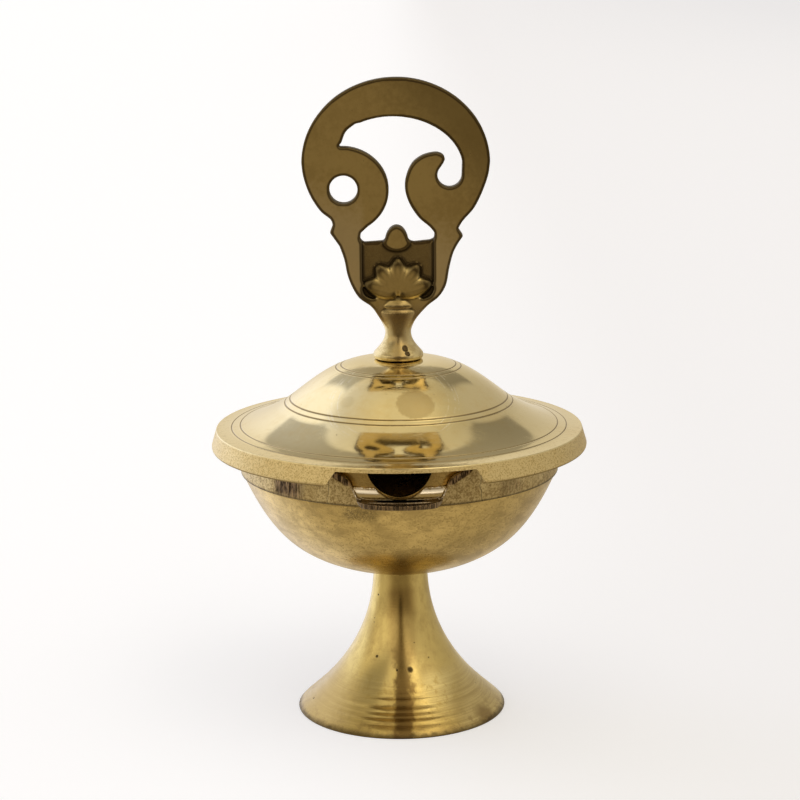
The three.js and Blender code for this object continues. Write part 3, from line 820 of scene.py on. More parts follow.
def foot_brass(colours):
    """The foot: smoother and yellower, with pits and grime low down. A dark stripe in front is a
    painted reflection with a painted highlight of glare beside it, and the flare is painted lighter on
    the right and darker on the left, as painted light and shade.
    """
    m = Brass("foot_brass")
    clouds = m.noise(m.place, 0.08, 4.0, 0.6)
    patches = m.noise(m.stretched(m.place, (0.5, 0.5, 0.25)), 1.0, 5.0, 0.68)
    stain = m.step(clouds * 0.5 + patches * 0.5, 0.42, 0.64)
    turning = m.noise(m.stretched(m.around, (2.2, 0.06, 2.2)), 1.0, 4.0, 0.6)
    lowest = m.fall(m.z + m.noise(m.place, 0.7, 3.0) * 1.6, 1.1, 2.5)
    rim = m.step(m.radius, 22.0, 28.0) * m.step(m.noise(m.place, 0.35, 4.0, 0.7), 0.5, 0.62)
    burnt = m.spot((24.0, -15.5, 2.6), 5.5, 3.5)
    pits = m.most(
        m.specks(m.place, 4.5, 0.42, 0.28, 1.0),
        m.specks(m.place, 2.2, 0.2, 0.2, 5.0),
        m.spot((2.3, -14.6, 14.6), 1.1, 0.5),
        m.spot((-6.6, -11.6, 17.6), 0.55, 0.3),
        m.spot((20.4, -18.0, 3.4), 1.1, 0.6) * 0.8,
        m.spot((15.0, -12.0, 11.6), 0.6, 0.3),
    )
    # A painted highlight: the glare beside the dark stripe on the front, low down, strongest on the
    # right.
    wear_and_glare = m.band(abs(m.x - 1.5), 8.5, 4.5, 2.5) * m.band(m.z, 8.5, 4.5, 2.5)
    wear_and_glare = wear_and_glare * m.fall(m.y, -8.0, -4.0) * m.step(patches, 0.36, 0.5)
    flare = m.fall(m.z, 11.0, 20.0) * 0.75
    turned_dirt = m.noise(m.stretched(m.around, (1.2, 0.12, 2.4)), 1.0, 4.0, 0.6)
    front = m.fall(m.y, -3.0, -1.0)
    # A painted reflection: a broad brown stripe down the front and its dark core stand in for the
    # mirrored dark room in front.
    stripe_reflection = m.band(m.x, 0.3, 3.6, 1.4) * m.step(m.z, 14.0, 19.0) * m.fall(m.z, 34.0, 37.5)
    ragged = m.x + (patches - 0.5) * 4.0 + (m.noise(m.place, 0.3, 3.0) - 0.5) * 4.0
    stripe_core_reflection = m.band(ragged, 0.5, 2.4, 0.9) * m.fall(m.z, 11.0, 25.0)
    colour = m.layered(
        colours.yellow,
        (0.12 + stain * 0.45, colours.patina),
        # Painted highlight of glare.
        (wear_and_glare * (0.45 + m.step(m.x, -2.0, 4.0) * 0.4), PAINTED_GLARE_YELLOW),
        # Painted light and shade: the flare lighter on the right and darker on the left.
        (flare * m.step(m.x, 13.0, 19.0), PAINTED_LIT_SIDE),
        (flare * m.fall(m.x, -19.0, -12.0), PAINTED_SHADED_SIDE),
        (m.most(rim * 0.5, burnt * 0.85), BURNT_BROWN),
        (m.fall(m.z, 7.0, 17.0) * turned_dirt * 1.1, colours.patina),
        # Painted reflection of the dark stripe in front.
        (stripe_reflection * front * 0.45, PAINTED_STRIPE_BROWN),
        (stripe_core_reflection * front * 0.85, PAINTED_STRIPE_CORE),
        (pits * 0.85, colours.dirt_and_shade),
        (lowest * 0.8, colours.dirt_and_shade),
    )
    rough = 0.16 + stain * 0.08 + turning * 0.05 + lowest * 0.15 + pits * 0.3 - wear_and_glare * 0.05
    height = turning * 0.010 + patches * 0.010 - pits * 0.05
    return m.finish(colour, rough, height)


def cast_brass(colours, name, floor):
    """The collar and spout: rough and speckled, with dark file marks where the mesh is marked."""
    m = Brass(name)
    floor = floor / MM
    bottom = BAND_LOW.z / MM
    grit = m.noise(m.place, 1.9, 4.0, 0.72)
    coarse = m.noise(m.place, 0.7, 4.0, 0.65, 0.6)
    clouds = m.noise(m.place, 0.12, 3.0)
    pits = m.step(grit * 0.7 + coarse * 0.3, 0.45, 0.58)
    filed = m.attribute("filed")
    inside = m.attribute("polish")
    grooves = m.step(m.noise(m.stretched(m.place, (2.6, 2.6, 0.3)), 1.0, 3.0, 0.6), 0.42, 0.56)
    bed = inside * m.fall(m.z, floor + 0.15, floor + 0.7)
    upper = inside * m.step(m.z + (coarse - 0.5) * 3.2, floor + 2.6, floor + 2.9)
    colour = m.layered(
        colours.cast,
        (m.step(clouds, 0.4, 0.65) * 0.45, colours.patina),
        (pits * 0.8 * (1 - inside), PIT_BROWN),
        (m.fall(m.z, bottom, bottom + 0.5) * 0.7 * (1 - inside), colours.dirt_and_shade),
        # The polished inside is pale cream; on the opening's thin low edge the cream is a painted
        # highlight.
        (inside, SPOUT_CREAM),
        (upper * 0.85, colours.patina),
        (bed * 0.85, SPOUT_BED),
        (filed, m.mix(grooves, FILE_RIDGE, FILE_GROOVE)),
    )
    rough = 0.34 + coarse * 0.12 - inside * 0.2 + filed * 0.12
    height = (grit * 0.10 + coarse * 0.10) * (1 - inside * 0.93) * (1 - filed * 0.6)
    return m.finish(colour, rough, height - filed * grooves * 0.10)


def finial_brass(colours, sizes):
    """The finial: satin olive faces, recesses dark with grime, walls and edges dark partly with grime
    and partly with painted shade, and a brighter stem.
    """
    m = Brass("finial_brass")
    half = sizes.thickness / 2 / MM
    centre = (sizes.top - sizes.rise) / MM
    edge = m.attribute("edge")
    clouds = m.noise(m.place, 0.09, 3.0)
    patches = m.noise(m.place, 0.6, 5.0, 0.65)
    grain = m.noise(m.place, 3.0, 4.0, 0.7)
    brushed = m.noise(m.stretched(m.place, (0.35, 1, 3.5)), 1.0, 3.0, 0.6)
    stem = m.fall(m.z + (patches - 0.5) * 3, centre - 42.0, centre - 36.5)
    sunk = m.step(m.y, 0.45 - half, 1.0 - half) * m.band(m.x, 0.1, 9.9, 0.3)
    sunk = sunk * m.band(m.z, centre - 28.8, 8.8, 0.3) * m.fall(m.y, 0.0, 0.3)
    walls = m.fall(abs(m.facing_y), 0.45, 0.85) * (1 - stem)
    aged = m.step(m.x + (m.z - centre) * 0.8 + (patches - 0.5) * 12, 4.0, 26.0)
    bare = m.fall(m.z + (patches - 0.5) * 10 + m.x * 0.3, centre - 24.0, centre - 8.0) * 0.6
    bare = bare * m.step(abs(m.x), 8.0, 10.0)
    shade = stem * m.band(m.x, 0.4, 2.3, 1.3) * m.fall(m.y, -1.0, 0.0)
    stem_top = stem * m.step(m.z + (patches - 0.5) * 4, centre - 45.5, centre - 41.0)
    pit = m.spot((2.0, -5.2, centre - 49.3), 1.15, 0.4)
    pit = m.most(pit, m.spot((2.6, -5.9, centre - 50.7), 0.9, 0.35))
    specks = m.specks(m.place, 2.6, 0.18, 0.3, 11.0)
    colour = m.layered(
        colours.olive,
        (m.step(clouds * 0.5 + patches * 0.5, 0.4, 0.66) * 0.5, colours.patina),
        (bare, BARE_CAST),
        (aged * 0.7, AGED_OLIVE),
        (stem * 0.7, colours.polished),
        (shade * 0.7, STEM_SHADE),
        (stem_top * 0.75, STEM_TOP),
        (stem * m.step(patches, 0.45, 0.6) * 0.4, colours.patina),
        # The next layers darken the edges, the walls and the hollow edges, partly as grime and partly
        # as painted shade; the sunk panel's darkening between them is grime.
        (m.step(edge, 0.54, 0.68) * (1 - stem) * 0.85, colours.dirt_and_shade),
        (walls * 0.9, colours.dirt_and_shade),
        (sunk * (0.55 + grain * 0.35), PANEL_DIRT),
        (m.fall(edge, 0.25, 0.47) * 0.85, colours.dirt_and_shade),
        (m.most(specks * 0.6, pit * 0.95), colours.dirt_and_shade),
    )
    rough = 0.30 + patches * 0.08 + sunk * 0.25 + walls * 0.2 - stem * 0.1
    height = grain * 0.012 + patches * 0.03 + brushed * 0.006
    height = height + sunk * grain * 0.08 - specks * 0.03 - pit * 0.3
    return m.finish(colour, rough, height)


def dark_brass(colours):
    """Nuts and washers: dull and stained."""
    m = Brass("dark_brass")
    patches = m.noise(m.place, 0.5, 5.0, 0.65)
    grain = m.noise(m.place, 3.0, 3.0, 0.6)
    colour = m.layered(
        colours.dull,
        (m.step(patches, 0.38, 0.62), colours.patina),
        (m.step(grain, 0.58, 0.7) * 0.6, colours.dirt_and_shade),
    )
    return m.finish(colour, 0.36 + patches * 0.2, grain * 0.02 + patches * 0.03)


def foot_curve(sizes):
    """The foot's outer side, upwards."""
    flare = sizes.radius - sizes.inset
    neck_start = sizes.height - 1.5 * MM
    return bezier([
        (flare, sizes.rim),
        (flare - 2 * MM, sizes.rim + 2.7 * MM),
        (sizes.neck + 1.3 * MM, neck_start - 23.6 * MM),
        (sizes.neck, neck_start),
    ], 70)


def make_foot(sizes, colours):
    """The hollow trumpet foot with the lathe's rings on its flare."""
    outer = foot_curve(sizes)
    height = outer[:, 1] / MM
    wander = 1.5 * np.sin(height * 1.3)
    rings = np.sin(height * 4.3 + wander) * plateau(height, 1.6, 3, 8, 13)
    outer[:, 0] += sizes.ripple * rings
    lining = shifted(foot_curve(sizes), sizes.wall)
    inside = lining[(lining[:, 1] > sizes.rim) & (lining[:, 1] < sizes.web - MM)]
    web = (np.interp(sizes.web, lining[:, 1], lining[:, 0]), sizes.web)
    top = sizes.height + 0.22 * MM
    path = softened([
        (sizes.radius - 0.1 * MM, 0),
        (sizes.radius, 0.3 * MM),
        outer,
        (sizes.neck, top),
        (STUD_HOLE, top),
        (STUD_HOLE, sizes.web),
        web,
        inside[::-1],
        (sizes.radius - sizes.wall, 0),
    ], 0.25 * MM)
    piece = turned("trumpet_foot", divided(path, 0.9 * MM), 288)
    uneven(piece, size=14 * MM, amount=0.05 * MM, seed=3.0)
    dress(piece, "base", "turned_brass", foot_brass(colours), "foot")


def bowl_curve(sizes):
    """The bowl's outer side, upwards from the foot's neck."""
    return bezier([
        (sizes.neck, sizes.bottom),
        (sizes.neck + sizes.belly_out, sizes.bottom + sizes.belly_rise),
        (sizes.radius - sizes.shoulder_in, sizes.ledge - sizes.shoulder_drop),
        (sizes.radius, sizes.ledge),
    ], 60)


def stud_thread(sizes):
    """The zigzag of the stud's thread, upwards."""
    pitch, depth, turns = 0.75 * MM, 0.32 * MM, 9
    start = BOWL_LOW.z + 0.4 * MM
    for turn in range(turns):
        yield sizes.stud - depth, start + turn * pitch
        yield sizes.stud, start + (turn + 0.5) * pitch


def make_bowl(sizes, colours):
    """The oil bowl with its threaded stud below and its mouth above."""
    outer = bowl_curve(sizes)
    lining = shifted(outer, sizes.wall)
    mouth_inner = sizes.mouth_outer - sizes.mouth_wall
    floor = sizes.bottom + sizes.floor
    inside = lining[(lining[:, 0] < mouth_inner - 1.2 * MM) & (lining[:, 1] > floor)]
    path = softened([
        (0, BOWL_LOW.z),
        (sizes.stud - 0.7 * MM, BOWL_LOW.z),
        *stud_thread(sizes),
        (sizes.stud, sizes.bottom),
        outer,
        (sizes.mouth_outer, sizes.ledge),
        (sizes.mouth_outer, sizes.mouth),
        (mouth_inner, sizes.mouth),
        (mouth_inner, sizes.ledge - 2.4 * MM),
        inside[::-1],
        (0, floor),
    ], 0.2 * MM, closed=False)
    piece = turned("oil_bowl", divided(path, 1.0 * MM, closed=False), 320, closed=False)
    uneven(piece, size=17 * MM, amount=0.06 * MM, seed=5.0)
    hole = arc(WICK_HOLE, sizes.hole, sizes.hole, 0, 360, 96)[:-1]
    carve(piece, upright("wick_hole", [hole], -sizes.mouth_outer - MM, -mouth_inner / 2))
    dress(piece, "base", "turned_brass", turned_brass(colours, sizes), "bowl")


def spout_floor(sizes):
    """The height of the spout's floor at the collar."""
    return BAND_LOW.z + sizes.floor


def in_front(sizes):
    """A place in Y well in front of the collar and the lip, where cutting tools end."""
    return -sizes.radius - 9 * MM


# Half the width of the tools that cut right across the lip.
ACROSS_LIP = 20 * MM


def seam(height, phase):
    """How far the seam beside the spout strays sideways at a height."""
    t = (height - BAND_LOW.z) / MM
    return (0.22 * math.sin(0.9 * t + phase) + 0.13 * math.sin(2.3 * t + 2 * phase)) * MM


def spout_block(name, sizes, clearance):
    """The space at the front of the collar between the two seams."""
    heights = np.linspace(BAND_LOW.z - 2 * MM, BAND_HIGH.z + 2 * MM, 40)
    right = [(sizes.right - clearance + seam(height, 1), height) for height in heights]
    left = [(-sizes.left + clearance + seam(height, 4), height) for height in heights[::-1]]
    return upright(name, [right + left], in_front(sizes), -sizes.radius / 4)


def collar_path(sizes):
    """The collar's section, with its lower edge close over the bowl's ledge."""
    inner = sizes.radius - sizes.wall - 0.25 * MM
    return softened([
        (sizes.radius, COLLAR_BOTTOM),
        (sizes.radius, BAND_HIGH.z),
        (inner, BAND_HIGH.z),
        (inner, COLLAR_BOTTOM),
    ], 0.18 * MM)


def make_collar(sizes, colours):
    """The filed collar round the mouth, open at the front for the spout."""
    piece = turned("collar", divided(collar_path(sizes), 0.7 * MM), 360)
    carve(piece, spout_block("gap", sizes, 0))
    uneven(piece, size=6 * MM, amount=0.05 * MM, seed=9.0)
    x, y, z = positions(piece.data).T
    left_end = plateau(x, -33.4, -31.8, -27.5, -23.5)
    right_patch = plateau(x, 25.0, 27.0, 31.0, 33.0)
    pit = plateau(x, 27.8, 28.6, 29.2, 30.0) * plateau(z, 72.2, 73.0, 74.4, 75.2)
    filed = (left_end + 0.35 * right_patch) * plateau(z, 67.4, 69.4, 74.6, 76.5)
    mark(piece.data, "filed", (filed + 0.9 * pit) * (y < 0))
    mark(piece.data, "polish", np.zeros(len(x)))
    metal = cast_brass(colours, "collar_brass", spout_floor(sizes))
    dress(piece, "base", "cast_brass", metal, "rim_band")


def spout_opening(sizes):
    """The right half of the spout's opening as seen from the front, from its middle upwards."""
    floor = spout_floor(sizes)
    mouth = BAND_HIGH.z
    width, corner = 10.8 * MM, 3 * MM
    steep = (12.2 * MM, mouth - 5.2 * MM)
    shoulder = (14.3 * MM, mouth - 2.7 * MM)
    flare = 17.8 * MM
    return np.vstack([
        [(0, floor)],
        bend((width - corner, floor), (width, floor), (width + 0.5 * MM, floor + corner / 2), 8),
        bend(steep, (12.6 * MM, mouth - 3.6 * MM), shoulder, 8),
        bend(shoulder, (flare - 0.4 * MM, mouth - 1.4 * MM), (flare, mouth), 8)[1:],
    ])


def lip_tongue(sizes):
    """The lip: a tongue with rounded lower corners, whose thin sides slope down to its end."""
    half = sizes.lip_half
    top = spout_floor(sizes) + sizes.lip_rise
    root = -math.sqrt(sizes.radius**2 - half**2)
    tongue = lying("tongue", np.vstack([
        arc((0, root), half, sizes.radius + sizes.lip + root, 180, 360, 48),
        [(half, root + sizes.wall), (-half, root + sizes.wall)],
    ]), COLLAR_BOTTOM, top)
    rounding = 2.6 * MM
    centre = half - rounding
    front = np.vstack([
        [(-half, top + MM)],
        arc((-centre, COLLAR_BOTTOM + rounding), rounding, rounding, 180, 270, 8),
        arc((centre, COLLAR_BOTTOM + rounding), rounding, rounding, 270, 360, 8),
        [(half, top + MM)],
    ])
    carve(tongue, upright("corners", [front], in_front(sizes), -sizes.radius / 2), "INTERSECT")
    start, end = -sizes.radius + 0.4 * MM, -sizes.radius - sizes.lip
    end_height = spout_floor(sizes) - sizes.lip_fall + 0.12 * MM
    above_sides = [
        (start, top + MM),
        (start, top),
        (end + 0.2 * MM, end_height),
        (end - MM, end_height),
        (end - MM, top + MM),
    ]
    return carve(tongue, sideways("above_sides", above_sides, ACROSS_LIP))


def spout_bed(sizes):
    """The rounded bed between the spout's floor and the bowl's wall, cut free of the wick hole."""
    inner = sizes.radius - sizes.wall
    floor = spout_floor(sizes)
    fillet = 3 * MM
    blunt = inner + 0.3 * MM
    behind = inner - 0.4 * MM
    bed = turned("bed", np.vstack([
        [(blunt + fillet, COLLAR_BOTTOM)],
        arc((blunt + fillet, floor + fillet), fillet, fillet, 270, 180, 12),
        [(behind, floor + fillet), (behind, COLLAR_BOTTOM)],
    ]), 240)
    side, tip = 12.2 * MM, 9.8 * MM
    right = [
        (side, -inner / 2),
        (side, -math.sqrt(sizes.radius**2 - side**2)),
        (tip, -sizes.radius + MM),
        (tip, in_front(sizes)),
    ]
    plan = [*right[::-1], *[(-x, y) for x, y in right]]
    carve(bed, lying("bed_room", plan, COLLAR_BOTTOM, BAND_HIGH.z + 2 * MM), "INTERSECT")
    clear = 8.9 * MM
    way = arc(WICK_HOLE, clear, clear, 0, 360, 96)[:-1]
    return carve(bed, upright("wick_way", [way], in_front(sizes), -inner / 2))


def mark_spout(mesh, sizes, half):
    """Marks the filed strip round the opening, the lip's filed end and the polished inside, and as
    polished too the opening's thin low edge, whose pale cream is a painted highlight.
    """
    place = positions(mesh)
    x, y, z = place.T
    out = np.hypot(x, y) - sizes.radius / MM
    floor, mouth = spout_floor(sizes) / MM, BAND_HIGH.z / MM
    opening = np.vstack([half[:0:-1] * (-1, 1), half]) / MM
    away = distance_to(opening, place[:, [0, 2]])
    outside = z < np.interp(np.abs(x), half[:, 0] / MM, half[:, 1] / MM) + 0.2
    face = out > -0.3
    strip = (1 - smoothstep(away, sizes.strip / MM - 0.25, sizes.strip / MM + 0.05)) * outside * face
    high = smoothstep(z, mouth - 5.4, mouth - 4.6)
    lip_end = (out > 0.3) & (z < floor - 0.3) & (z > COLLAR_BOTTOM / MM + 0.1)
    lip_end = 0.65 * lip_end * (1 - smoothstep(np.abs(x), 9.6, 10.8))
    mark(mesh, "filed", np.clip(strip * high + lip_end, 0, 1))
    # The opening's thin low edge is marked as polished, so that it takes the pale cream: a painted
    # highlight.
    painted_edge_highlight = (away < 0.35) & (high < 0.5)
    mark(mesh, "polish", (~face | (out > 0.2) | painted_edge_highlight) * 1.0)


def make_spout(sizes, colours):
    """The wick spout: a trough with a flared opening, a dished floor and a lip."""
    inner = sizes.radius - sizes.wall
    floor = spout_floor(sizes)
    above = BAND_HIGH.z + 2 * MM
    block = turned("spout_casting", divided(collar_path(sizes), 1.5 * MM), 360)
    carve(block, spout_block("front", sizes, sizes.seam), "INTERSECT")
    carve(block, lip_tongue(sizes), "UNION")
    half = spout_opening(sizes)
    flare = half[-1, 0]
    channel = np.vstack([[(-flare, above)], half[:0:-1] * (-1, 1), half, [(flare, above)]])
    carve(block, upright("channel", [channel], in_front(sizes), -inner / 2))
    start, end = -sizes.radius + MM, -sizes.radius - sizes.lip - MM
    fall = [(start, floor), (start, floor + MM), (end, floor + MM), (end, floor - sizes.lip_fall)]
    carve(block, sideways("fall", fall, ACROSS_LIP))
    carve(block, spout_bed(sizes), "UNION")
    low = COLLAR_BOTTOM - MM
    bore = [(0, low), (inner, low), (inner, above), (0, above)]
    carve(block, turned("bore", bore, 240, closed=False))
    cast(block, grain=0.15 * MM, smoothing=2)
    mark_spout(block.data, sizes, half)
    metal = cast_brass(colours, "spout_brass", floor)
    dress(block, "base", "cast_brass", metal, "wick_spout")


def lid_rings(sizes):
    """The radii of the lid's engraved rings: two on the brim, two at the dome's foot and two above."""
    rim = sizes.radius - sizes.flare - 4.2 * MM
    dome, crown = 31 * MM, 17 * MM
    brim_gap, gap = 2.4 * MM, 1.4 * MM
    return [rim, rim - brim_gap, dome, dome - gap, crown, crown - gap]


def engraved(path, radius, width, depth):
    """Presses a rounded ring into a path whose radius falls."""
    across = np.linspace(-1, 1, 11)
    reach = radius - across * width / 2
    heights = np.interp(-reach, -path[:, 0], path[:, 1])
    ring = np.stack([reach, heights - depth * (0.5 + 0.5 * np.cos(math.pi * across))], 1)
    room = width / 2 + 0.05 * MM
    return np.vstack([path[path[:, 0] > radius + room], ring, path[path[:, 0] < radius - room]])


def lid_section(sizes):
    """The lid's section, from its seat down the skirt, up over the dome and back inside."""
    rim = sizes.radius - sizes.flare
    foot = (rim - sizes.brim, sizes.edge + sizes.brim_rise)
    brim = bezier([
        (rim, sizes.edge),
        (rim - 5.2 * MM, sizes.edge + 0.3 * MM),
        (rim - 8.6 * MM, sizes.edge + 1.15 * MM),
        foot,
    ], 50)
    crown_flat = 7 * MM
    dome = bezier([
        foot,
        (foot[0] - 6.7 * MM, foot[1] + 3.9 * MM),
        (crown_flat + 12.5 * MM, sizes.crown),
        (crown_flat, sizes.crown),
    ], 70)
    top = np.vstack([brim, dome[1:], [(STUD_HOLE, sizes.crown)]])
    for radius in lid_rings(sizes):
        top = engraved(top, radius, sizes.ring_width, sizes.ring_depth)
    crown_inside = sizes.crown - 2.4 * MM
    crown_reach = crown_flat + 0.2 * MM
    lining = shifted(dome, sizes.wall)
    lining = lining[lining[:, 0] > crown_reach]
    curl = 0.5 * MM
    corner = (sizes.radius, sizes.bottom)
    skirt = bend((corner[0] - curl, corner[1]), corner, (corner[0], corner[1] + 1.6 * curl), 8)
    seat_inner = rim + sizes.flare / 2 - sizes.skirt_wall
    flange_outer, flange_end = 38.9 * MM, sizes.seat - 2.5 * MM
    flange_inner = flange_outer - 1.5 * MM
    return softened([
        (seat_inner, sizes.seat),
        (sizes.radius - sizes.skirt_wall, sizes.bottom + 0.5 * MM),
        skirt,
        top,
        (STUD_HOLE, crown_inside),
        (crown_reach, crown_inside),
        lining[::-1],
        (flange_inner, sizes.seat + 1.05 * MM),
        (flange_inner, flange_end),
        (flange_outer, flange_end),
        (flange_outer, sizes.seat),
    ], 0.22 * MM)


def make_lid(sizes, colours):
    """The domed lid with its engraved rings, and the notch over the spout."""
    piece = turned("domed_lid", divided(lid_section(sizes), 1.1 * MM), 256)
    low = sizes.bottom
    side = sizes.notch_bottom
    right = [
        (side + 1.2 * MM, low - MM),
        (side + 0.5 * MM, low - 0.1 * MM),
        (side - 0.35 * MM, low + 0.7 * MM),
        (sizes.notch_top, sizes.seat),
    ]
    left = [(-x, height) for x, height in right[::-1]]
    notch = softened([right + left], 0.7 * MM)
    behind_flange = -20 * MM
    carve(piece, upright("notch", [notch], -sizes.radius - MM, behind_flange))
    piece.data.transform(Matrix.Rotation(sizes.turn, 4, "Z"))
    dress(piece, "cover", "polished_brass", polished_brass(colours, sizes), "lid")


def stem_heights(sizes):
    """The heights of the stem's base, neck and head."""
    neck = LID_HIGH.z + sizes.neck_rise
    return LID_HIGH.z + 0.08 * MM, neck, neck + sizes.head_rise


# The sizes at which the plate's outlines are drawn, in millimetres: half the arch's width, its rise,
# and how far the stem's head lies below its centre.
DRAWN_HALF_WIDTH, DRAWN_RISE, DRAWN_DROP = 24.85, 22, 40.2


def on_plate(sizes, outline):
    """Puts an outline drawn in millimetres about the arch's centre on the plate."""
    centre = sizes.top - sizes.rise
    drop = centre - stem_heights(sizes)[2]
    x = outline[:, 0] * sizes.half_width / DRAWN_HALF_WIDTH
    stretch = np.where(outline[:, 1] > 0, sizes.rise / DRAWN_RISE, drop / DRAWN_DROP)
    return np.stack([x, outline[:, 1] * stretch + centre], 1)


def plate_outlines(sizes):
    """The plate's outer edge, its opening, its eye and its panel."""
    arch = arc((-0.2, 0), DRAWN_HALF_WIDTH, DRAWN_RISE, 180, 0, 96)[1:-1]
    shoulder = through([
        (24.65, 0), (24.1, -3.6), (22.4, -8.3), (20.3, -12.3), (17.5, -15.5), (16.2, -17.6),
    ])
    side = through([
        (16.3, -21.3), (14.9, -24), (13.8, -28), (12.9, -32.6), (11, -35.8),
        (8, -38.2), (5.4, -41), (3.6, -43.4), (1.8, -44.6),
    ])
    left_side = through([
        (-1.8, -44.6), (-3.4, -43.4), (-5, -41.3), (-7, -38.4), (-10.1, -36.1),
        (-12, -33.2), (-13.3, -29.8), (-14.1, -25.6), (-15.3, -22),
    ])
    left_shoulder = through([
        (-17, -16.4), (-17.6, -14.8), (-20.3, -12.5), (-22.9, -8.4), (-24.5, -3.8), (-25.05, 0),
    ])
    tip, left_tip = [(17.5, -19.6)], [(-17.8, -18.4)]
    outer = np.vstack([shoulder, tip, side, left_side, left_tip, left_shoulder, arch])
    opening = np.vstack([
        through([(-14.4, 5.4), (-13.2, 8.2), (-10.7, 10.2)]),
        arc((-0.9, -1.8), 18.4, 13.8, 117, 8, 60),
        arc((14, -3.4), 3.2, 3.2, 0, -205, 40),
        through([
            (12.4, -0.2), (12.8, 1), (12, 2.1), (10, 2.5), (6.6, 1.6), (3.8, -0.8),
            (2.2, -5.5), (3, -10), (5.6, -14.3), (8.6, -17), (9.9, -18.6),
        ]),
        [(9.8, -20.4), (8.6, -20.9), (4.4, -21.3), (3.4, -21)],
        arc((-0.15, -21.8), 3.2, 5, 15, 165, 30),
        [(-3.7, -21), (-8.9, -21.3), (-9.8, -20.4), (-9.7, -18.6)],
        arc((-14.4, -7.2), 12.3, 11.4, -57, 95, 60),
    ])
    panel = np.vstack([
        [(-9.4, -20.6)],
        arc((-6.2, -33.4), 3.2, 2.9, 180, 270, 12),
        arc((6.4, -33.4), 3.2, 2.9, 270, 360, 12),
        [(9.6, -20.4), (3.9, -20.4)],
        arc((-0.1, -20.4), 3.9, 3.1, 0, -180, 20)[1:],
    ])
    eye = on_plate(sizes, np.array([(-14.1, -7)]))[0]
    round_eye = arc(eye, sizes.eye, sizes.eye, 0, 360, 72)[:-1]
    return on_plate(sizes, outer), on_plate(sizes, opening), round_eye, on_plate(sizes, panel)


def start_tree(name, inputs):
    """A board for a geometry node tree, and the wires of its named inputs."""
    tree = bpy.data.node_groups.new(name, "GeometryNodeTree")
    tree.interface.new_socket("Geometry", in_out="OUTPUT", socket_type="NodeSocketGeometry")
    for label, kind in inputs.items():
        tree.interface.new_socket(label, in_out="INPUT", socket_type=f"NodeSocket{kind}")
    board = Board(tree)
    given = board.node("NodeGroupInput")
    return board, {label: Wire(board, given.outputs[label]) for label in inputs}


def end_tree(board, shape, metal):
    """Makes a tree's shape a real mesh of one metal, and the tree's result."""
    whole = board.wire("GeometryNodeRealizeInstances", {}, {"Geometry": shape})
    whole = board.wire("GeometryNodeSetMaterial", {}, {"Geometry": whole, "Material": metal})
    board.node("NodeGroupOutput", {}, {"Geometry": whole})
    return board.tree


def petal_tree():
    """A node tree that fans out petals about the origin, in X and Z, raised towards -Y."""
    board, ins = start_tree("petal_fan", {
        "Petals": "Int", "Spread": "Float", "Length": "Float", "Width": "Float", "Height": "Float",
        "Metal": "Material",
    })
    petal = board.wire("GeometryNodeMeshGrid", {}, {"Vertices X": 25, "Vertices Y": 13})
    grid_x, grid_y, _ = board.axes(board.wire("GeometryNodeInputPosition"))
    along = grid_x + 0.5
    across = grid_y * 2
    swell = board.math("SINE", (along ** 0.85) * math.pi) ** 0.8
    dome = 1 - across * across * 0.35
    dome = dome - board.step(abs(across), 0.75, 1.0) * 0.65 - board.fall(abs(across), 0.0, 0.12) * 0.12
    ends = board.step(along, 0.0, 0.1) * (1 - board.step(along, 0.93, 1.0) * 0.5)
    shape = board.wire("ShaderNodeCombineXYZ", {}, {
        "X": across * swell * ins["Width"] * 0.5,
        "Y": dome * ends * ins["Height"] * -1,
        "Z": along * ins["Length"],
    })
    petal = board.wire("GeometryNodeSetPosition", {}, {"Geometry": petal, "Position": shape})
    row = board.wire("GeometryNodeMeshLine", {}, {"Count": ins["Petals"], "Offset": (0, 0, 0)})
    index = board.wire("GeometryNodeInputIndex")
    lean = (index - (ins["Petals"] - 1) * 0.5) * ins["Spread"]
    turn = board.wire("ShaderNodeCombineXYZ", {}, {"Y": lean})
    fan = board.wire("GeometryNodeInstanceOnPoints", {}, {
        "Points": row, "Instance": petal, "Rotation": turn,
    })
    return end_tree(board, fan, ins["Metal"])


def grown(name, tree, **inputs):
    """A plain mesh object that a node tree makes from named inputs."""
    piece = new_object(name, bpy.data.meshes.new(name))
    step = piece.modifiers.new("grow", "NODES")
    step.node_group = tree
    for socket in tree.interface.items_tree:
        if socket.item_type == "SOCKET" and socket.in_out == "INPUT":
            step[socket.identifier] = inputs[socket.name.replace(" ", "_").lower()]
    return settle(piece)


def petal_fan(sizes, metal):
    """The raised flower in the panel, as closed petals."""
    fan = grown(
        "petal_fan", petal_tree(), petals=sizes.petals, spread=sizes.petal_spread,
        length=sizes.petal_length, width=sizes.petal_width, height=sizes.panel, metal=metal,
    )
    thick = fan.modifiers.new("thick", "SOLIDIFY")
    thick.thickness = 0.9 * MM
    thick.offset = -1
    return settle(fan)


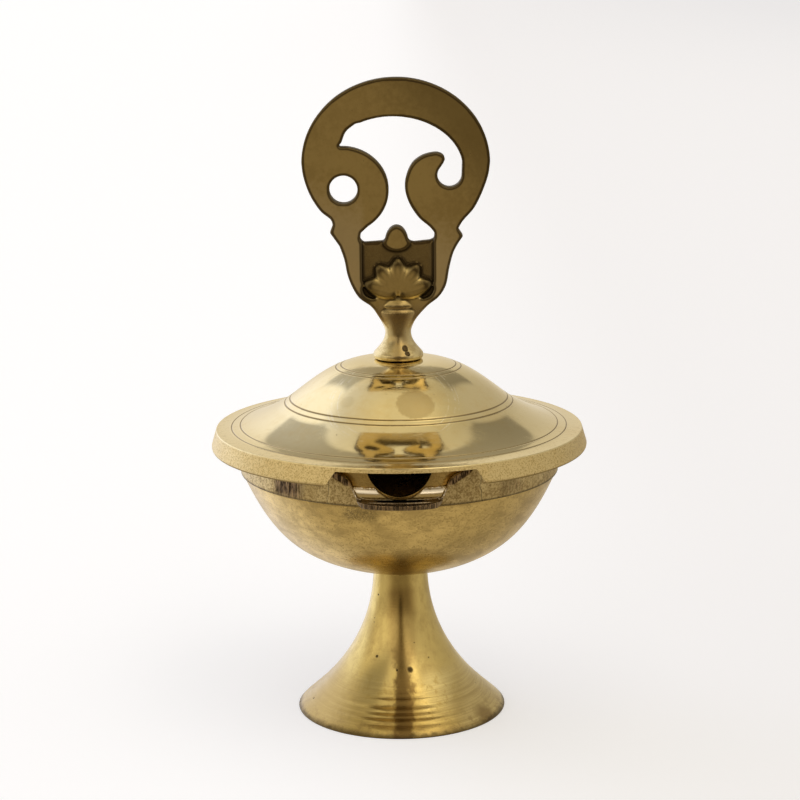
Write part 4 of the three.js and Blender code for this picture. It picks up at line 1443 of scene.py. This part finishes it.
def stem_path(sizes):
    """The finial's tenon and stem, upwards from the thread's end to inside the plate."""
    base, neck, head = stem_heights(sizes)
    low = FINIAL_LOW.z
    return softened([
        (0, low),
        (2.4 * MM, low),
        (3 * MM, low + 0.6 * MM),
        (3 * MM, base),
        (6.3 * MM, base),
        (6.75 * MM, base + 0.6 * MM),
        (6.8 * MM, base + 1.5 * MM),
        bezier([
            (6.55 * MM, base + 1.9 * MM), (4.9 * MM, base + 3.8 * MM),
            (3.5 * MM, neck - 2.4 * MM), (3.5 * MM, neck),
        ], 24),
        bezier([
            (3.5 * MM, neck + 0.2 * MM), (3.5 * MM, neck + 2 * MM),
            (3.75 * MM, head - 1 * MM), (3.65 * MM, head + 0.3 * MM),
        ], 16),
        (3.15 * MM, head + 1.0 * MM),
        (3.1 * MM, head + 1.5 * MM),
        (3.35 * MM, head + 1.9 * MM),
        (2.8 * MM, head + 3.2 * MM),
        (1.9 * MM, head + 3.6 * MM),
        (0, head + 3.6 * MM),
    ], 0.25 * MM, closed=False)


def make_stem(sizes):
    """The round stem, which spreads sideways above its neck to meet the plate."""
    stem = turned("stem", divided(stem_path(sizes), 1 * MM, closed=False), 96, closed=False)
    _, neck, head = stem_heights(sizes)
    most_spread = 0.6
    for vertex in stem.data.vertices:
        share = min(max((vertex.co.z - neck) / (head - neck), 0), 1)
        vertex.co.x *= 1 + most_spread * share**1.3
    return stem


def make_finial(sizes, colours):
    """The pierced plate with its scrolls, sunk panel and flower, growing out of a round stem."""
    metal = finial_brass(colours, sizes)
    outer, opening, eye, panel = plate_outlines(sizes)
    face = -sizes.thickness / 2
    plate = upright("openwork_finial", [outer, opening, eye], face, -face)
    carve(plate, upright("sink", [panel], face - MM, face + sizes.panel))
    flower = petal_fan(sizes, metal)
    root = on_plate(sizes, np.array([(0.1, -34.6)]))[0]
    flower.data.transform(Matrix.Translation((root[0], face + sizes.panel, root[1])))
    join(plate, make_stem(sizes), flower)
    cast(plate, sizes.grain, smoothing=3)
    uneven(plate, size=9 * MM, amount=0.07 * MM, seed=2.0)
    mark_edges(plate.data, reach=0.2, rounds=8)
    dress(plate, "cover", "finial_brass", metal, "finial")


def nut_tree():
    """A node tree that makes a hexagon nut with chamfered corners, and the washer beside it."""
    lengths = (
        "Flats", "Bore", "Nut Bottom", "Nut Height", "Washer Radius", "Washer Bottom", "Washer Height",
    )
    board, ins = start_tree("nut_and_washer", {**dict.fromkeys(lengths, "Float"), "Metal": "Material"})

    def ring(corners, radius, bottom, height, chamfer):
        """A ring with chamfered outer edges, bent from a grid: each column is its section, whose
        seventh point lies on the first."""
        sides = 72
        levels = 7
        tube = board.wire("GeometryNodeMeshGrid", {}, {"Vertices X": sides + 1, "Vertices Y": levels})
        index = board.wire("GeometryNodeInputIndex")
        column = board.math("FLOOR", (index + 0.5) / levels)
        level = index - column * levels
        turn = column * (2 * math.pi / sides)
        outer = radius
        chamfered = radius - chamfer
        if corners:
            folded = board.math("PINGPONG", turn, math.pi / corners)
            corner = radius * 1.1
            outer = board.math("MINIMUM", radius / board.math("COSINE", folded), corner)
            chamfered = board.math("MINIMUM", outer, corner - chamfer)
        reach = chamfered + (outer - chamfered) * board.band(level, 2.5, 1.0, 0.4)
        reach = ins["Bore"] + (reach - ins["Bore"]) * board.band(level, 2.5, 2.0, 0.4)
        rise = board.step(level, 1.4, 1.6) * chamfer + board.step(level, 3.4, 3.6) * chamfer
        rise = rise + board.step(level, 2.4, 2.6) * (height - chamfer * 2)
        rise = rise - board.step(level, 5.4, 5.6) * height
        place = board.wire("ShaderNodeCombineXYZ", {}, {
            "X": reach * board.math("COSINE", turn),
            "Y": reach * board.math("SINE", turn),
            "Z": bottom + rise,
        })
        return board.wire("GeometryNodeSetPosition", {}, {"Geometry": tube, "Position": place})

    nut = ring(6, ins["Flats"] * 0.5, ins["Nut Bottom"], ins["Nut Height"], 0.5 * MM)
    washer = ring(0, ins["Washer Radius"], ins["Washer Bottom"], ins["Washer Height"], 0.2 * MM)
    both = board.node("GeometryNodeJoinGeometry")
    for part in (nut, washer):
        board.tree.links.new(part.socket, both.inputs[0])
    return end_tree(board, Wire(board, both.outputs[0]), ins["Metal"])


def make_fasteners(sizes, colours):
    """The nut and washer under the foot's web, and those under the lid's crown."""
    tree = nut_tree()
    metal = dark_brass(colours)
    rows = (
        ("foot_fastener", "base", "foot_nut", "foot_washer"),
        ("lid_fastener", "cover", "finial_nut", "finial_washer"),
    )
    for name, body, nut, washer in rows:
        nut_low, nut_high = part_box(nut)
        washer_low, washer_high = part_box(washer)
        piece = grown(
            name, tree, flats=sizes.flats, bore=sizes.bore, nut_bottom=nut_low.z,
            nut_height=nut_high.z - nut_low.z, washer_radius=sizes.washer,
            washer_bottom=washer_low.z, washer_height=washer_high.z - washer_low.z, metal=metal,
        )
        merge(piece.data)
        dress(piece, body, "dark_brass", metal, nut, washer)


def make_floor(settings):
    """A wide pale floor whose glow is painted light: it lightens the floor and the lamp's shadow on it,
    and is dimmer to the right and far back on the right, a painted shade as from a light at the left.
    The brass mirrors the room below the horizon in its place.
    """
    half = 12
    corners = [(-half, -half, 0), (half, -half, 0), (half, half, 0), (-half, half, 0)]
    floor = solid("floor", corners, [(0, 1, 2, 3)])
    material = bpy.data.materials.new("floor_paper")
    material.use_nodes = True
    board = Board(material.node_tree)
    x, y, _ = board.axes(board.wire("ShaderNodeTexCoord", output="Object"))
    # Painted light and shade: the glow is dimmer to the right and far back on the right, as from a
    # light at the left.
    painted_glow = board.layered(
        (1.0, 0.98, 0.96),
        (board.step(x, -0.06, 0.14), (0.79, 0.755, 0.72)),
        (board.step(y, 0.5, 5.0) * board.step(x, -0.5, 1.4), (0.6, 0.585, 0.575)),
    )
    shader = board.node("ShaderNodeBsdfPrincipled", {}, {
        "Base Color": (*settings.floor, 1), "Roughness": 0.9, "Specular IOR Level": 0.1,
        "Emission Color": painted_glow, "Emission Strength": settings.painted_glow,
    })
    board.node("ShaderNodeOutputMaterial", {}, {"Surface": Wire(board, shader.outputs[0])})
    floor.data.materials.append(material)
    floor.visible_glossy = False


def make_room(settings):
    """The room that the brass mirrors: bright behind and above, and dim in front."""
    world = bpy.data.worlds.new("studio")
    bpy.context.scene.world = world
    world.use_nodes = True
    board = Board(world.node_tree)
    x, y, z = board.axes(board.wire("ShaderNodeTexCoord", output="Generated"))
    rise = board.math("ARCSINE", z) * (180 / math.pi)
    wide = abs(x)
    back = board.step(y, -0.1, 0.5)
    front = board.fall(y, -0.25, 0.2)
    right = board.step(x, -0.05, 0.5)
    left = board.step(x * -1, 0.05, 0.5)
    above = board.step(rise, 46.0, 60.0)

    # The walls and the ceiling. The wall behind is brightest at its left.
    level = 0.66 + back * (1 - above) * 0.16 + back * left * (1 - above) * 0.42
    level = level - right * (0.04 + back * 0.24) + above * 0.1

    # The dim side with the camera, darkest at table height, and the dark stripe in its middle.
    near = board.fall(wide, 0.38, 0.98) * front
    dim = 0.6 - board.step(rise, 6.0, 18.0) * 0.75 - board.step(rise, 32.0, 48.0) * 0.05
    dim = dim - board.fall(rise, -60.0, -28.0) * 0.62
    stripe = board.fall(wide, 0.02, 0.2) * front * board.fall(rise, 44.0, 60.0)
    stripe = stripe * board.step(rise, -5.0, 1.0)
    level = level * (1 - near * dim) * (1 - stripe * 0.84)

    # High up in front: darker left and brighter right, with bright panes beside the stripe.
    high = front * board.step(rise, 26.0, 44.0)
    level = level * (1 - left * high * 0.45) + right * high * 0.3
    level = level + left * front * board.band(rise, 20.0, 14.0, 6.0) * 0.3
    level = level + high * board.band(wide, 0.27, 0.13, 0.06) * 0.3
    glare = board.band(rise, 50.0, 22.0, 8.0) * front * board.band(x, 0.3, 0.14, 0.06)
    level = level * (1 + glare * 0.5)

    # The dark gap in the wall behind, and the darker ground there.
    gap = board.step(y, 0.3, 0.4) * board.step(rise, 27.0, 29.5) * board.fall(rise, 50.0, 54.0)
    level = level * (1 - gap * board.fall(wide, 0.4, 0.47) * 0.52)
    level = level * (1 - board.fall(rise, -85.0, -25.0) * (1 - front) * 0.3)

    colour = board.layered(
        (1.0, 0.88, 0.67),
        (above, (1.0, 0.86, 0.58)),
        (back * (left + 0.1), (1.0, 0.98, 1.02)),
        (near * dim, (1.0, 0.70, 0.35)),
        (stripe * 0.8, (1.0, 0.66, 0.25)),
    )
    light = board.wire("ShaderNodeBackground", {}, {"Color": colour, "Strength": level * settings.room})
    board.node("ShaderNodeOutputWorld", {}, {"Surface": light})


def add_light(settings):
    """A very soft key light from above, a little to the left. The brass doesn't mirror it."""
    data = bpy.data.lights.new("key_light", "SUN")
    data.energy = settings.sun
    data.angle = math.radians(120)
    data.color = (1.0, 0.86, 0.6)
    light = new_object("key_light", data)
    light.location = (-0.4, -0.2, 1.2)
    light.rotation_euler = Vector((0.2, -0.1, -1)).to_track_quat("-Z", "Y").to_euler()
    light.visible_glossy = False


def make_camera(settings):
    """The camera at the photograph's place."""
    data = bpy.data.cameras.new("camera")
    data.lens = settings.lens
    data.sensor_width = 36
    camera = new_object("camera", data)
    place = Matrix.Translation((settings.sideways, -settings.distance, settings.height))
    tilt = Matrix.Rotation(math.pi / 2 - settings.pitch, 4, "X")
    camera.matrix_world = place @ tilt @ Matrix.Rotation(settings.roll, 4, "Z")
    bpy.context.scene.camera = camera


class LAMP_OT_foot(bpy.types.Operator):
    """Turn the trumpet foot."""

    bl_idname = "lamp.foot"
    bl_label = "Foot"
    bl_options = {"REGISTER", "UNDO"}

    def execute(self, context):
        lamp = context.scene.oil_lamp
        make_foot(lamp.foot, lamp.colours)
        return {"FINISHED"}


class LAMP_OT_bowl(bpy.types.Operator):
    """Turn the oil bowl."""

    bl_idname = "lamp.bowl"
    bl_label = "Bowl"
    bl_options = {"REGISTER", "UNDO"}

    def execute(self, context):
        lamp = context.scene.oil_lamp
        make_bowl(lamp.bowl, lamp.colours)
        return {"FINISHED"}


class LAMP_OT_collar(bpy.types.Operator):
    """File the collar round the mouth."""

    bl_idname = "lamp.collar"
    bl_label = "Collar"
    bl_options = {"REGISTER", "UNDO"}

    def execute(self, context):
        lamp = context.scene.oil_lamp
        make_collar(lamp.collar, lamp.colours)
        return {"FINISHED"}


class LAMP_OT_spout(bpy.types.Operator):
    """Cast the wick spout."""

    bl_idname = "lamp.spout"
    bl_label = "Wick spout"
    bl_options = {"REGISTER", "UNDO"}

    def execute(self, context):
        lamp = context.scene.oil_lamp
        make_spout(lamp.collar, lamp.colours)
        return {"FINISHED"}


class LAMP_OT_lid(bpy.types.Operator):
    """Turn and engrave the lid."""

    bl_idname = "lamp.lid"
    bl_label = "Lid"
    bl_options = {"REGISTER", "UNDO"}

    def execute(self, context):
        lamp = context.scene.oil_lamp
        make_lid(lamp.lid, lamp.colours)
        return {"FINISHED"}


class LAMP_OT_finial(bpy.types.Operator):
    """Cast the openwork finial."""

    bl_idname = "lamp.finial"
    bl_label = "Finial"
    bl_options = {"REGISTER", "UNDO"}

    def execute(self, context):
        lamp = context.scene.oil_lamp
        make_finial(lamp.finial, lamp.colours)
        return {"FINISHED"}


class LAMP_OT_fasteners(bpy.types.Operator):
    """Make the nuts and washers."""

    bl_idname = "lamp.fasteners"
    bl_label = "Nuts and washers"
    bl_options = {"REGISTER", "UNDO"}

    def execute(self, context):
        lamp = context.scene.oil_lamp
        make_fasteners(lamp.fasteners, lamp.colours)
        return {"FINISHED"}


class LAMP_OT_studio(bpy.types.Operator):
    """Set up the floor, the light and the camera."""

    bl_idname = "lamp.studio"
    bl_label = "Studio"
    bl_options = {"REGISTER", "UNDO"}

    def execute(self, context):
        studio = context.scene.oil_lamp.studio
        make_floor(studio)
        make_room(studio)
        add_light(studio)
        make_camera(studio)
        context.scene.view_settings.view_transform = "Standard"
        return {"FINISHED"}


class LampSettings(bpy.types.PropertyGroup):
    """The sizes and colours of the lamp, and the studio's settings."""

    foot: PointerProperty(type=FootSizes)
    bowl: PointerProperty(type=BowlSizes)
    collar: PointerProperty(type=CollarSizes)
    lid: PointerProperty(type=LidSizes)
    finial: PointerProperty(type=FinialSizes)
    fasteners: PointerProperty(type=FastenerSizes)
    colours: PointerProperty(type=BrassColours)
    studio: PointerProperty(type=StudioSettings)


class LAMP_PT_pieces(bpy.types.Panel):
    """The lamp's pieces in the sidebar."""

    bl_label = "Oil Lamp"
    bl_space_type = "VIEW_3D"
    bl_region_type = "UI"
    bl_category = "Oil Lamp"

    def draw(self, context):
        for operator in OPERATORS:
            self.layout.operator(operator.bl_idname)


SETTINGS = (
    FootSizes, BowlSizes, CollarSizes, LidSizes, FinialSizes, FastenerSizes, BrassColours,
    StudioSettings,
)
OPERATORS = (
    LAMP_OT_foot, LAMP_OT_bowl, LAMP_OT_collar, LAMP_OT_spout, LAMP_OT_lid, LAMP_OT_finial,
    LAMP_OT_fasteners, LAMP_OT_studio,
)
CLASSES = (*SETTINGS, LampSettings, *OPERATORS, LAMP_PT_pieces)


def register():
    for each in CLASSES:
        bpy.utils.register_class(each)
    bpy.types.Scene.oil_lamp = PointerProperty(type=LampSettings)


def unregister():
    del bpy.types.Scene.oil_lamp
    for each in reversed(CLASSES):
        bpy.utils.unregister_class(each)


def main():
    register()
    bpy.ops.lamp.foot()
    bpy.ops.lamp.bowl()
    bpy.ops.lamp.collar()
    bpy.ops.lamp.spout()
    bpy.ops.lamp.lid()
    bpy.ops.lamp.finial()
    bpy.ops.lamp.fasteners()
    bpy.ops.lamp.studio()


if __name__ == "__main__":
    main()
